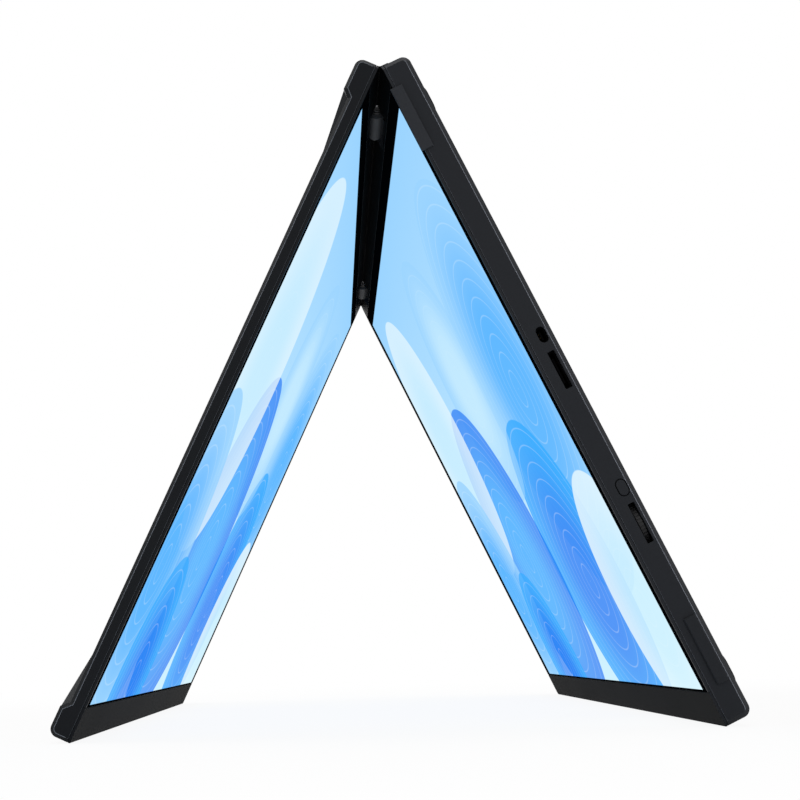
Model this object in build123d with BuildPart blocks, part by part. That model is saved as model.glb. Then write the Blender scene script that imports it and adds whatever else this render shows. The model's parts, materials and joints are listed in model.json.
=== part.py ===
from build123d import *
import os
from math import cos, radians, sin

os.makedirs("parts", exist_ok=True)

# A stacked dual-screen monitor that stands as a tent. The hinge runs along Y, the near end is -Y,
# the main panel leans to +X and the slim lid panel to -X. Both stand on the floor at Z = 0.
# Inside a panel, s runs down from the hinge, y along it and e from the screen to the back.

# Screens, one in each panel
ACTIVE_WIDTH = 344.2  # lit area along the hinge, 15.6 inch diagonal in the 16 by 9 shape
ACTIVE_HEIGHT = 193.6  # lit area away from the hinge
SIDE_BORDER = 5.5  # lit area to the short sides
HINGE_BORDER = 12.9  # pivot to the lit area
CHIN_BORDER = 11.4  # lit area to the outer end
GLASS = 0.7
LCD_DEPTH = 2.2
LCD_RIM_TOP = 3.5
LCD_RIM_SIDE = 2.0
LCD_RIM_CHIN = 1.8
DRIVER_STRIP = 6.0  # height of the raised driver strip on the back of the LCD

# Stance and hinge line
OPEN_ANGLE = 50.1  # between the two screens
PIVOT_OUT = 0.15  # pivot in front of both screens, half the closed gap
END_GAP = 0.15  # pivot to the end face of each panel

# Panel shells
MAIN_DEPTH = 8.85
MAIN_WALL = 1.3
MAIN_ROUND = 2.6
MAIN_BEVEL = 1.55
LID_DEPTH = 7.0
LID_EDGE = 4.75  # depth of the lid where its short sides are cut back
LID_WALL = 1.0
LID_ROUND = 2.5
LID_BEVEL = 1.1
WALL = 1.5  # side walls of both panels
CAVITY_ROUND = 2.0
RECESS_START = 13.2  # cut-back of the lid, on its floor
RECESS_MARGIN = 10.6  # outer end of the lid to the cut-back floor
RECESS_REACH = 20.0  # how far the cut-back goes in from the short side
RECESS_STRAIGHT = 2.0  # straight run at the short side before the slanted ends

# Front frame, chin strip and seam
LIP_WIDTH = 1.2
SEAM = 0.2
SEAM_INSET = 0.25
RAIL_WIDTH = 6.8  # black rail between the hinge and the glass
LEDGE = 1.2
SKIRT = 1.2
SKIRT_DEPTH = 1.75
CHIN_REVEAL = 0.7
CHIN_ROUND = 0.35
CHIN_EDGE = 0.25
FIT = 0.1  # clearance around pieces that drop in
ROOM = 0.4  # clearance of the LCD inside the frame

# Hinges
NEAR_HINGE_INSET = 41.2  # near short side to its barrel
FAR_HINGE_INSET = 30.6  # far short side to its barrel, the two hinges are the same and not mirrored
BARREL_LENGTH = 24.6
BARREL_RADIUS = 3.1
BARREL_BEVEL = 1.0
PIN_RADIUS = 1.2
PIN_PLAY = 0.05
PIN_HEAD = 0.5
PIN_HEAD_RADIUS = 1.9
WASHER = 0.3
EAR = 2.0
EAR_RADIUS = 2.2
EAR_PLAY = 0.1
NOTCH_PLAY = 0.4
RELIEF = 6.2  # pivot to the end of the slanted relief in front of a barrel
POCKET_WALL = 1.5
SEAL_BEAD = 0.2  # round bead of the seal between the hinges, on the pivot
SEAL = 0.2
SEAL_DEPTH = 2.5
SEAL_GAP = 0.3
ARM_LENGTH = 15.0
ARM_START = 0.5
ARM_DEPTH = 1.6
ARM_CLEAR = 0.15
JOGGLE = 2.0
PLATE = 1.0
PLATE_LENGTH = 18.0
PLATE_WIDTH = 26.0
PLATE_ROUND = 2.0
SCREW_SPREAD = 9.0
SCREW_SPACING = 16.0
SCREW_RADIUS = 0.8
SCREW_HEAD = 0.8
SCREW_PLAY = 0.05
BOSS_RADIUS = 2.2

# Control board and what stands on it, along the near short side of the main panel
BOARD = 0.8
BOARD_START = 85.3
BOARD_LENGTH = 87.0
BOARD_WIDTH = 36.0
BOARD_INSET = 1.9
BOARD_PIN_RADIUS = 0.9
BOARD_PIN_INSET = 3.6
PORT_LEVEL = 5.45
PORT_SHELL = 0.35
POWER_AT = 94.9
POWER_LENGTH = 5.05
POWER_HEIGHT = 2.95
POWER_REACH = 6.0
VIDEO_AT = 106.4
VIDEO_LENGTH = 12.1
VIDEO_HEIGHT = 2.3
VIDEO_LEVEL = 5.3
VIDEO_REACH = 7.0
VIDEO_ROUND = 0.3
TONGUE = 0.5
TONGUE_SETBACK = 1.2
BUTTON_FROM_END = 27.3  # far end of the board to the middle of the button
BUTTON_LENGTH = 4.8
BUTTON_HEIGHT = 2.9
BUTTON_GAP = 0.3
BUTTON_FLANGE = 0.8
BUTTON_LIP = 0.35
BUTTON_TRAVEL = 0.4
BUTTON_ROUND = 0.2
SWITCH_LENGTH = 4.0
SWITCH_REACH = 3.0
SWITCH_HEIGHT = 2.6
PLUNGER_RADIUS = 0.9
PLUNGER = 0.5
PLUNGER_GAP = 0.05
WHEEL_FROM_END = 16.0  # far end of the board to the middle of the wheel
WHEEL_LEVEL = 5.45
WHEEL_RADIUS = 7.5
WHEEL_THICK = 1.4
WHEEL_SUNK = 0.3
WHEEL_RIDGES = 44
RIDGE_DEPTH = 0.3
RIDGE_WIDTH = 0.45
WHEEL_SLOT_LENGTH = 12.5
WHEEL_SLOT_HEIGHT = 2.1
WHEEL_GAP = 0.15
POST_RADIUS = 1.5
POST_PLAY = 0.05
ENCODER_SIDE = 9.0

# Bumpers, feet, speakers, threaded inserts and cover screws of the main panel
FRONT_BUMPER_AT = 8.5
FRONT_BUMPER_LENGTH = 21.2
FRONT_BUMPER_DEPTH = 2.8
FRONT_BUMPER_PROUD = 1.0  # near bumper only, beside the side of the closed lid
REAR_BUMPER_FROM_END = 11.4
REAR_BUMPER_LENGTH = 20.5
REAR_BUMPER_START = 3.3
REAR_BUMPER_DEPTH = 3.6
BUMPER_RISE = 1.0
BUMPER_GAP = 0.2  # front bumper to the side of the closed lid
BUMPER_ROUND = 0.4
REAR_BUMPER_CORNER = 0.9
FOOT_LENGTH = 9.5
FOOT_WIDTH = 22.0
FOOT_HEIGHT = 1.1
FOOT_ROUND = 0.6
FOOT_END = 14.3  # hinge to the middle of the upper feet
FOOT_CHIN = 13.5  # outer end to the middle of the lower feet
FOOT_SIDE = 5.0
SPEAKER_HEIGHT = 14.0
SPEAKER_WIDTH = 40.0
SPEAKER_DEPTH = 3.2
SPEAKER_FROM_END = 21.0
SPEAKER_SIDE = 57.6
SPEAKER_ROUND = 2.0
GRILLE_SLOTS = 9
GRILLE_PITCH = 3.2
GRILLE_SLOT = 8.0
GRILLE_SLOT_WIDTH = 1.2
ARM_PLATE_PITCH = 75.0  # square pattern of the arm or wall plate
INSERT_RADIUS = 3.0
INSERT_BORE = 2.1
INSERT_LENGTH = 3.8
INSERT_BOSS = 4.4
COVER_SCREW_RADIUS = 1.0
COVER_SCREW_HEAD = 1.1
COVER_SCREW_REACH = 5.0
COVER_SCREW_INSET = 24.0  # middle of the near hinge to the cover screws beside it
CABLE_WIDTH = 10.0
CABLE = 0.2
CABLE_AT = 105.0
LID_BOARD_WIDTH = 120.0
LID_BOARD_HEIGHT = 22.0
LID_BOARD_FROM_END = 57.6

# Places along s
active_end = HINGE_BORDER + ACTIVE_HEIGHT
panel_end = active_end + CHIN_BORDER
panel_middle = (END_GAP + panel_end) / 2
panel_height = panel_end - END_GAP
rail_end = END_GAP + RAIL_WIDTH
chin_start = active_end + CHIN_REVEAL
lcd_start = HINGE_BORDER - LCD_RIM_TOP
lcd_end = active_end + LCD_RIM_CHIN
skirt_start = END_GAP + WALL + FIT
skirt_end = panel_end - WALL - FIT
window_start = rail_end + LEDGE
window_end = lcd_end + ROOM
pocket_end = lcd_start - 2 * ROOM
joggle_end = lcd_start - ROOM
joggle_start = joggle_end - JOGGLE
plate_end = joggle_end + PLATE_LENGTH
plate_middle = (joggle_end + plate_end) / 2
board_end = BOARD_START + BOARD_LENGTH
button_at = board_end - BUTTON_FROM_END
wheel_at = board_end - WHEEL_FROM_END

# Places along the hinge, from the middle
half_length = ACTIVE_WIDTH / 2 + SIDE_BORDER
inner_half = half_length - WALL
skirt_half = inner_half - FIT
window_half = skirt_half - SKIRT
lcd_half = ACTIVE_WIDTH / 2 + LCD_RIM_SIDE
near_hinge = -half_length + NEAR_HINGE_INSET + BARREL_LENGTH / 2
far_hinge = half_length - FAR_HINGE_INSET - BARREL_LENGTH / 2
hinge_places = (near_hinge, far_hinge)
lid_hinge_places = (-near_hinge, -far_hinge)  # y is turned round in the lid
ear_offset = BARREL_LENGTH / 2 + WASHER + EAR_PLAY + EAR / 2
pin_half = ear_offset + EAR / 2 + EAR_PLAY
notch_half = pin_half + PIN_HEAD + NOTCH_PLAY
ear_places = [y + side * ear_offset for y in lid_hinge_places for side in (-1, 1)]
board_y = -inner_half + BOARD_INSET + BOARD_WIDTH / 2
wheel_y = -half_length + WHEEL_SUNK + WHEEL_RADIUS

# Places along e
LIP = GLASS
cover_front = LIP + SEAM
skirt_back = cover_front + SKIRT_DEPTH
lcd_back = GLASS + LCD_DEPTH
main_floor = MAIN_DEPTH - MAIN_WALL
lid_floor = LID_DEPTH - LID_WALL
lid_edge_floor = LID_EDGE - LID_WALL
arm_front = cover_front + ARM_CLEAR
arm_back = arm_front + ARM_DEPTH
plate_front = lcd_back + ROOM
plate_back = plate_front + PLATE
notch_radius = BARREL_RADIUS + NOTCH_PLAY
board_back = PORT_LEVEL - POWER_HEIGHT / 2
board_front = board_back - BOARD

# Panel planes, with the pivot above the floor and the outline centred on the origin
half = radians(OPEN_ANGLE / 2)
main_reach = (PIVOT_OUT + MAIN_DEPTH - MAIN_ROUND) * cos(half) + MAIN_ROUND
main_reach += (panel_end - MAIN_ROUND) * sin(half)
lid_reach = (PIVOT_OUT + LID_DEPTH - LID_ROUND) * cos(half) + LID_ROUND
lid_reach += (panel_end - LID_ROUND) * sin(half)
pivot_height = (panel_end - CHIN_ROUND) * cos(half) - (PIVOT_OUT + CHIN_ROUND) * sin(half) + CHIN_ROUND
pivot = Vector((lid_reach - main_reach) / 2, 0, pivot_height)
main_back = Vector(cos(half), 0, sin(half))
lid_back = Vector(-cos(half), 0, sin(half))
main = Plane(origin=pivot + main_back * PIVOT_OUT, x_dir=(sin(half), 0, -cos(half)), z_dir=main_back)
lid = Plane(origin=pivot + lid_back * PIVOT_OUT, x_dir=(-sin(half), 0, -cos(half)), z_dir=lid_back)
main_depth = Axis(main.origin, main.z_dir)
lid_depth = Axis(lid.origin, lid.z_dir)


def across(panel, y):
    """Plane square to the hinge at y, with s to the right and e upwards."""
    return Plane(origin=panel.from_local_coords((0, y, 0)), x_dir=panel.x_dir, z_dir=-panel.y_dir)


near_inside = across(main, -inner_half)
near_face = across(main, -half_length)

# Corner points that pieces share
screw_s = SCREW_SPREAD / 2
screw_y = SCREW_SPACING / 2
screw_steps = [(s, y) for s in (-screw_s, screw_s) for y in (-screw_y, screw_y)]
main_plate_screws = [(plate_middle + s, place + y) for place in hinge_places for s, y in screw_steps]
lid_plate_screws = [(plate_middle + s, place + y) for place in lid_hinge_places for s, y in screw_steps]
board_middle = (BOARD_START + board_end) / 2
pin_s = BOARD_LENGTH / 2 - BOARD_PIN_INSET
pin_y = BOARD_WIDTH / 2 - BOARD_PIN_INSET
board_pins = [(board_middle + s, board_y + y) for s in (-pin_s, pin_s) for y in (-pin_y, pin_y)]
insert_step = ARM_PLATE_PITCH / 2
insert_steps = (-insert_step, insert_step)
insert_places = [(panel_middle + s, y) for s in insert_steps for y in insert_steps]
rail_boss = (skirt_start + SKIRT + joggle_end) / 2
chin_boss = (window_end + skirt_end) / 2
cover_screw_y = -near_hinge - COVER_SCREW_INSET
cover_screws = [(s, y) for s in (rail_boss, chin_boss) for y in (-cover_screw_y, 0, cover_screw_y)]
speaker_s = panel_end - SPEAKER_FROM_END
speaker_y = half_length - SPEAKER_SIDE
lid_board_end = panel_end - LID_BOARD_FROM_END
arm_points = [
    (ARM_START, arm_front),
    (joggle_start, arm_front),
    (joggle_end, plate_front),
    (joggle_end + PLATE, plate_front),
    (joggle_end + PLATE, plate_back),
    (joggle_end - PLATE / 2, plate_back),
    (joggle_start - PLATE, arm_back),
    (ARM_START, arm_back),
]
relief_points = [(0, -PIVOT_OUT), (RELIEF, -PIVOT_OUT), (RELIEF, 0), (0, notch_radius - PIVOT_OUT)]


def screen_glass(panel):
    """Cover glass with its black printed border, flush with the front frame."""
    start = rail_end + FIT
    end = chin_start - FIT
    with BuildPart() as glass:
        with BuildSketch(panel):
            with Locations(((start + end) / 2, 0)):
                Rectangle(end - start, 2 * (half_length - LIP_WIDTH - FIT))
        extrude(amount=GLASS)
    return glass


def lcd_module(panel):
    """LCD and backlight tray, glued behind the glass, with its driver strip next to the chin."""
    with BuildPart() as module:
        with BuildSketch(panel.offset(GLASS)):
            with Locations(((lcd_start + lcd_end) / 2, 0)):
                Rectangle(lcd_end - lcd_start, 2 * lcd_half)
        extrude(amount=LCD_DEPTH - TONGUE)
        with BuildSketch(panel.offset(lcd_back - TONGUE)):
            with Locations(((lcd_start + lcd_end) / 2, 0)):
                Rectangle(lcd_end - lcd_start - 2 * WALL, 2 * (lcd_half - WALL))
            with Locations((lcd_end - WALL - DRIVER_STRIP, 0)):
                Rectangle(TONGUE, 2 * (lcd_half - WALL), mode=Mode.SUBTRACT)
        extrude(amount=TONGUE)
    return module


def chin_strip(panel, corner):
    """Matt strip along the outer end. Its rounded front edge is what the panel stands on."""
    with BuildPart() as strip:
        with BuildSketch(panel):
            with Locations(((chin_start + panel_end) / 2, 0)):
                Rectangle(panel_end - chin_start, 2 * half_length)
            chamfer(vertices().group_by(Axis.X)[-1], corner)
        extrude(amount=LIP)
        depth = Axis(panel.origin, panel.z_dir)
        fall = Axis(panel.origin, panel.x_dir)
        front_edges = edges().group_by(depth)[0]
        fillet(front_edges.sort_by(fall)[-1], CHIN_ROUND)
        front_edges = edges().group_by(depth)[0]
        chamfer(front_edges.sort_by(fall)[0], CHIN_EDGE)
    return strip


def front_frame(panel, corner, hinges, arm_zones, boss_places, boss_back):
    """Frame with the thin front lip, the seam ledge, a skirt inside the cover and the hinge pockets."""
    lip_end = chin_start - FIT
    pocket_places = [((skirt_start + pocket_end) / 2, y) for y in hinges]
    with BuildPart() as frame:
        with BuildSketch(panel):
            with Locations(((END_GAP + lip_end) / 2, 0)):
                Rectangle(lip_end - END_GAP, 2 * half_length)
            chamfer(vertices().group_by(Axis.X)[0], corner)
            with Locations(((rail_end + lip_end) / 2, 0)):
                Rectangle(lip_end - rail_end, 2 * (half_length - LIP_WIDTH), mode=Mode.SUBTRACT)
        extrude(amount=LIP)
        with BuildSketch(panel.offset(LIP)):
            with Locations((panel_middle, 0)):
                Rectangle(panel_height - 2 * SEAM_INSET, 2 * (half_length - SEAM_INSET))
            chamfer(vertices(), corner)
            with Locations(((window_start + window_end) / 2, 0)):
                Rectangle(window_end - window_start, 2 * window_half, mode=Mode.SUBTRACT)
        extrude(amount=SEAM)
        with BuildSketch(panel.offset(cover_front)):
            with Locations(((skirt_start + skirt_end) / 2, 0)):
                Rectangle(skirt_end - skirt_start, 2 * skirt_half)
            fillet(vertices(), CAVITY_ROUND - FIT)
            with Locations(((skirt_start + SKIRT + window_end) / 2, 0)):
                Rectangle(window_end - skirt_start - SKIRT, 2 * window_half, mode=Mode.SUBTRACT)
            with Locations(pocket_places):
                Rectangle(pocket_end - skirt_start, 2 * (notch_half + POCKET_WALL))
        extrude(amount=SKIRT_DEPTH)
        if boss_places:
            with BuildSketch(panel.offset(cover_front)):
                with Locations(boss_places):
                    Circle(BOSS_RADIUS)
            extrude(amount=boss_back - cover_front)
            with BuildSketch(panel.offset(boss_back)):
                with Locations(boss_places):
                    Circle(COVER_SCREW_RADIUS + SCREW_PLAY)
            extrude(amount=-COVER_SCREW_REACH, mode=Mode.SUBTRACT)
        for place in hinges:
            with BuildSketch(across(panel, place)):
                with Locations((0, -PIVOT_OUT)):
                    Circle(notch_radius)
                with BuildLine():
                    Polyline(*relief_points, close=True)
                make_face()
            extrude(amount=notch_half, both=True, mode=Mode.SUBTRACT)
        for place, length in arm_zones:
            with BuildSketch(across(panel, place)):
                with Locations((pocket_end / 2, (cover_front + skirt_back) / 2)):
                    Rectangle(pocket_end + ROOM, skirt_back - cover_front)
            extrude(amount=length / 2 + ARM_CLEAR, both=True, mode=Mode.SUBTRACT)
    return frame


# Main rear cover: rounded along the hinge and the outer end, bevelled along the short sides
with BuildPart() as main_rear_cover:
    with BuildSketch(across(main, 0)):
        with Locations((panel_middle, (cover_front + MAIN_DEPTH) / 2)):
            Rectangle(panel_height, MAIN_DEPTH - cover_front)
        fillet(vertices().group_by(Axis.Y)[-1], MAIN_ROUND)
    extrude(amount=half_length, both=True)
    side_faces = [faces().sort_by(Axis.Y)[0], faces().sort_by(Axis.Y)[-1]]
    rims = [rim for face in side_faces for rim in face.edges().sort_by(main_depth)[1:]]
    chamfer(rims, MAIN_BEVEL)
    with BuildSketch(main.offset(cover_front)):
        with Locations((panel_middle, 0)):
            Rectangle(panel_height - 2 * WALL, 2 * inner_half)
        fillet(vertices(), CAVITY_ROUND)
    extrude(amount=main_floor - cover_front, mode=Mode.SUBTRACT)
    # Bosses for the hinge plates, the board and the threaded inserts
    with BuildSketch(main.offset(plate_back)):
        with Locations(main_plate_screws):
            Circle(BOSS_RADIUS)
    extrude(amount=main_floor - plate_back)
    with BuildSketch(main.offset(board_back)):
        with Locations(board_pins):
            Circle(BOSS_RADIUS)
    extrude(amount=main_floor - board_back)
    with BuildSketch(main.offset(board_front)):
        with Locations(board_pins):
            Circle(BOARD_PIN_RADIUS)
    extrude(amount=BOARD)
    with BuildSketch(main.offset(MAIN_DEPTH - INSERT_LENGTH - MAIN_WALL / 2)):
        with Locations(insert_places):
            Circle(INSERT_BOSS)
    extrude(amount=INSERT_LENGTH - MAIN_WALL / 2)
    # Holes: hinge screws, inserts, cover screws and speaker grilles
    with BuildSketch(main.offset(plate_back)):
        with Locations(main_plate_screws):
            Circle(SCREW_RADIUS + SCREW_PLAY)
    extrude(amount=main_floor - plate_back, mode=Mode.SUBTRACT)
    with BuildSketch(main.offset(MAIN_DEPTH)):
        with Locations(insert_places):
            Circle(INSERT_RADIUS)
    extrude(amount=-INSERT_LENGTH, mode=Mode.SUBTRACT)
    with BuildSketch(main.offset(MAIN_DEPTH)):
        with Locations(cover_screws):
            Circle(COVER_SCREW_RADIUS + COVER_SCREW_HEAD)
    extrude(amount=-COVER_SCREW_HEAD, taper=45, mode=Mode.SUBTRACT)
    with BuildSketch(main.offset(MAIN_DEPTH)):
        with Locations(cover_screws):
            Circle(COVER_SCREW_RADIUS + SCREW_PLAY)
        with Locations((speaker_s, -speaker_y), (speaker_s, speaker_y)):
            with GridLocations(0, GRILLE_PITCH, 1, GRILLE_SLOTS):
                SlotOverall(GRILLE_SLOT, GRILLE_SLOT_WIDTH)
    extrude(amount=-MAIN_WALL, mode=Mode.SUBTRACT)
    # Openings in the near side wall
    with BuildSketch(near_face):
        with Locations((POWER_AT, PORT_LEVEL)):
            SlotOverall(POWER_LENGTH, POWER_HEIGHT)
        with Locations((VIDEO_AT, VIDEO_LEVEL)):
            RectangleRounded(VIDEO_LENGTH, VIDEO_HEIGHT, VIDEO_ROUND)
        with Locations((button_at, PORT_LEVEL)):
            SlotOverall(BUTTON_LENGTH + 2 * BUTTON_GAP, BUTTON_HEIGHT + 2 * BUTTON_GAP)
        with Locations((wheel_at, WHEEL_LEVEL)):
            RectangleRounded(WHEEL_SLOT_LENGTH, WHEEL_SLOT_HEIGHT, VIDEO_ROUND)
    extrude(amount=-WALL, mode=Mode.SUBTRACT)
    # Notches with slanted reliefs for the hinge barrels, and the ways in for their arms
    for place in hinge_places:
        with BuildSketch(across(main, place)):
            with Locations((0, -PIVOT_OUT)):
                Circle(notch_radius)
            with BuildLine():
                Polyline(*relief_points, close=True)
            make_face()
        extrude(amount=notch_half, both=True, mode=Mode.SUBTRACT)
        with BuildSketch(across(main, place)):
            with Locations((skirt_start / 2, (cover_front + arm_back + ARM_CLEAR) / 2)):
                Rectangle(skirt_start, arm_back + ARM_CLEAR - cover_front)
        extrude(amount=ARM_LENGTH / 2 + ARM_CLEAR, both=True, mode=Mode.SUBTRACT)
main_rear_cover.part.label = "main_rear_cover"
export_step(main_rear_cover.part, "parts/main_rear_cover.step")

# Lid rear cover: slim, with tapered cut-backs along its short sides
with BuildPart() as lid_rear_cover:
    with BuildSketch(across(lid, 0)):
        with Locations((panel_middle, (cover_front + LID_DEPTH) / 2)):
            Rectangle(panel_height, LID_DEPTH - cover_front)
        fillet(vertices().group_by(Axis.Y)[-1], LID_ROUND)
    extrude(amount=half_length, both=True)
    recess_end = panel_end - RECESS_MARGIN
    recess_floor = half_length - RECESS_REACH
    recess_bend = half_length - RECESS_STRAIGHT
    slant = RECESS_REACH - RECESS_STRAIGHT
    for side in (-1, 1):
        with BuildSketch(lid.offset(LID_EDGE)):
            with BuildLine():
                Polyline(
                    (RECESS_START, side * (half_length + RECESS_REACH)),
                    (RECESS_START, side * recess_bend),
                    (RECESS_START + slant, side * recess_floor),
                    (recess_end - slant, side * recess_floor),
                    (recess_end, side * recess_bend),
                    (recess_end, side * (half_length + RECESS_REACH)),
                    close=True,
                )
            make_face()
        extrude(amount=LID_DEPTH - LID_EDGE, taper=-45, mode=Mode.SUBTRACT)
    side_faces = [faces().sort_by(Axis.Y)[0], faces().sort_by(Axis.Y)[-1]]
    rims = [rim for face in side_faces for rim in face.edges().sort_by(lid_depth)[1:]]
    chamfer(rims, LID_BEVEL)
    with BuildSketch(lid.offset(cover_front)):
        with Locations((panel_middle, 0)):
            Rectangle(panel_height - 2 * WALL, 2 * inner_half)
        fillet(vertices(), CAVITY_ROUND)
    extrude(amount=lid_edge_floor - cover_front, mode=Mode.SUBTRACT)
    pocket_half = half_length - RECESS_REACH - (LID_DEPTH - LID_EDGE) - 2 * LID_WALL
    with BuildSketch(lid.offset(lid_edge_floor)):
        with Locations((panel_middle, 0)):
            Rectangle(panel_height - 2 * (WALL + LID_ROUND), 2 * pocket_half)
        fillet(vertices(), CAVITY_ROUND)
    extrude(amount=lid_floor - lid_edge_floor, mode=Mode.SUBTRACT)
    with BuildSketch(lid.offset(plate_back)):
        with Locations(lid_plate_screws):
            Circle(BOSS_RADIUS)
    extrude(amount=lid_floor - plate_back)
    with BuildSketch(lid.offset(plate_back)):
        with Locations(lid_plate_screws):
            Circle(SCREW_RADIUS + SCREW_PLAY)
    extrude(amount=lid_floor - plate_back, mode=Mode.SUBTRACT)
    for place in lid_hinge_places:
        with BuildSketch(across(lid, place)):
            with Locations((0, -PIVOT_OUT)):
                Circle(notch_radius)
            with BuildLine():
                Polyline(*relief_points, close=True)
            make_face()
        extrude(amount=notch_half, both=True, mode=Mode.SUBTRACT)
    for place in ear_places:
        with BuildSketch(across(lid, place)):
            with Locations((pocket_end / 2, (cover_front + plate_back + ARM_CLEAR) / 2)):
                Rectangle(pocket_end, plate_back + ARM_CLEAR - cover_front)
        extrude(amount=EAR / 2 + ARM_CLEAR, both=True, mode=Mode.SUBTRACT)
lid_rear_cover.part.label = "lid_rear_cover"
export_step(lid_rear_cover.part, "parts/lid_rear_cover.step")

# Front frames, glass, LCD modules and chin strips, the same make in both panels
main_arm_zones = [(place, ARM_LENGTH) for place in hinge_places]
lid_arm_zones = [(place, EAR) for place in ear_places]
main_front_frame = front_frame(main, MAIN_BEVEL, hinge_places, main_arm_zones, cover_screws, main_floor)
main_front_frame.part.label = "main_front_frame"
export_step(main_front_frame.part, "parts/main_front_frame.step")
lid_front_frame = front_frame(lid, LID_BEVEL, lid_hinge_places, lid_arm_zones, [], lid_edge_floor)
lid_front_frame.part.label = "lid_front_frame"
export_step(lid_front_frame.part, "parts/lid_front_frame.step")
for panel_name, panel, corner in (("main", main, MAIN_BEVEL), ("lid", lid, LID_BEVEL)):
    glass = screen_glass(panel)
    glass.part.label = f"{panel_name}_screen_glass"
    export_step(glass.part, f"parts/{panel_name}_screen_glass.step")
    module = lcd_module(panel)
    module.part.label = f"{panel_name}_lcd_module"
    export_step(module.part, f"parts/{panel_name}_lcd_module.step")
    strip = chin_strip(panel, corner)
    strip.part.label = f"{panel_name}_chin_strip"
    export_step(strip.part, f"parts/{panel_name}_chin_strip.step")

# Hinges: a barrel with its plate on the main panel, a leaf with two ears on the lid, and a riveted pin
for end_name, place in (("near", near_hinge), ("far", far_hinge)):
    with BuildPart() as hinge_barrel:
        with BuildSketch(across(main, place)):
            with Locations((0, -PIVOT_OUT)):
                Circle(BARREL_RADIUS)
        extrude(amount=BARREL_LENGTH / 2, both=True)
        chamfer(edges().filter_by(GeomType.CIRCLE), BARREL_BEVEL)
        with BuildSketch(across(main, place)):
            with BuildLine():
                Polyline(*arm_points, close=True)
            make_face()
        extrude(amount=ARM_LENGTH / 2, both=True)
        with BuildSketch(main.offset(plate_front)):
            with Locations((plate_middle, place)):
                RectangleRounded(PLATE_LENGTH, PLATE_WIDTH, PLATE_ROUND)
        extrude(amount=PLATE)
        with BuildSketch(across(main, place)):
            with Locations((0, -PIVOT_OUT)):
                Circle(PIN_RADIUS)
        extrude(amount=BARREL_LENGTH / 2, both=True, mode=Mode.SUBTRACT)
        with BuildSketch(main.offset(plate_front)):
            with Locations((plate_middle, place)):
                with GridLocations(SCREW_SPREAD, SCREW_SPACING, 2, 2):
                    Circle(SCREW_RADIUS + SCREW_HEAD)
        extrude(amount=SCREW_HEAD, taper=45, mode=Mode.SUBTRACT)
        with BuildSketch(main.offset(plate_front)):
            with Locations((plate_middle, place)):
                with GridLocations(SCREW_SPREAD, SCREW_SPACING, 2, 2):
                    Circle(SCREW_RADIUS + SCREW_PLAY)
        extrude(amount=PLATE, mode=Mode.SUBTRACT)
    hinge_barrel.part.label = f"hinge_barrel_{end_name}"
    export_step(hinge_barrel.part, f"parts/hinge_barrel_{end_name}.step")

    with BuildPart() as hinge_pin:
        with BuildSketch(across(main, place)):
            with Locations((0, -PIVOT_OUT)):
                Circle(PIN_RADIUS)
        extrude(amount=pin_half, both=True)
        for side in (-1, 1):
            with BuildSketch(across(main, place + side * (pin_half + PIN_HEAD / 2))):
                with Locations((0, -PIVOT_OUT)):
                    Circle(PIN_HEAD_RADIUS)
            extrude(amount=PIN_HEAD / 2, both=True)
    hinge_pin.part.label = f"hinge_pin_{end_name}"
    export_step(hinge_pin.part, f"parts/hinge_pin_{end_name}.step")

    with BuildPart() as lid_hinge_leaf:
        for side in (-1, 1):
            with BuildSketch(across(lid, -place + side * ear_offset)):
                with Locations((0, -PIVOT_OUT)):
                    Circle(EAR_RADIUS)
                with BuildLine():
                    Polyline(*arm_points, close=True)
                make_face()
                with Locations((0, -PIVOT_OUT)):
                    Circle(PIN_RADIUS + PIN_PLAY, mode=Mode.SUBTRACT)
            extrude(amount=EAR / 2, both=True)
        with BuildSketch(lid.offset(plate_front)):
            with Locations((plate_middle, -place)):
                RectangleRounded(PLATE_LENGTH, 2 * ear_offset + EAR, PLATE_ROUND)
        extrude(amount=PLATE)
        with BuildSketch(lid.offset(plate_front)):
            with Locations((plate_middle, -place)):
                with GridLocations(SCREW_SPREAD, SCREW_SPACING, 2, 2):
                    Circle(SCREW_RADIUS + SCREW_HEAD)
        extrude(amount=SCREW_HEAD, taper=45, mode=Mode.SUBTRACT)
        with BuildSketch(lid.offset(plate_front)):
            with Locations((plate_middle, -place)):
                with GridLocations(SCREW_SPREAD, SCREW_SPACING, 2, 2):
                    Circle(SCREW_RADIUS + SCREW_PLAY)
        extrude(amount=PLATE, mode=Mode.SUBTRACT)
    lid_hinge_leaf.part.label = f"lid_hinge_leaf_{end_name}"
    export_step(lid_hinge_leaf.part, f"parts/lid_hinge_leaf_{end_name}.step")

with BuildPart() as friction_washers:
    for place in hinge_places:
        for side in (-1, 1):
            with BuildSketch(across(main, place + side * (BARREL_LENGTH / 2 + WASHER / 2))):
                with Locations((0, -PIVOT_OUT)):
                    Circle(BARREL_RADIUS - BARREL_BEVEL)
                    Circle(PIN_RADIUS, mode=Mode.SUBTRACT)
            extrude(amount=WASHER / 2, both=True)
friction_washers.part.label = "friction_washers"
export_step(friction_washers.part, "parts/friction_washers.step")

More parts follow.
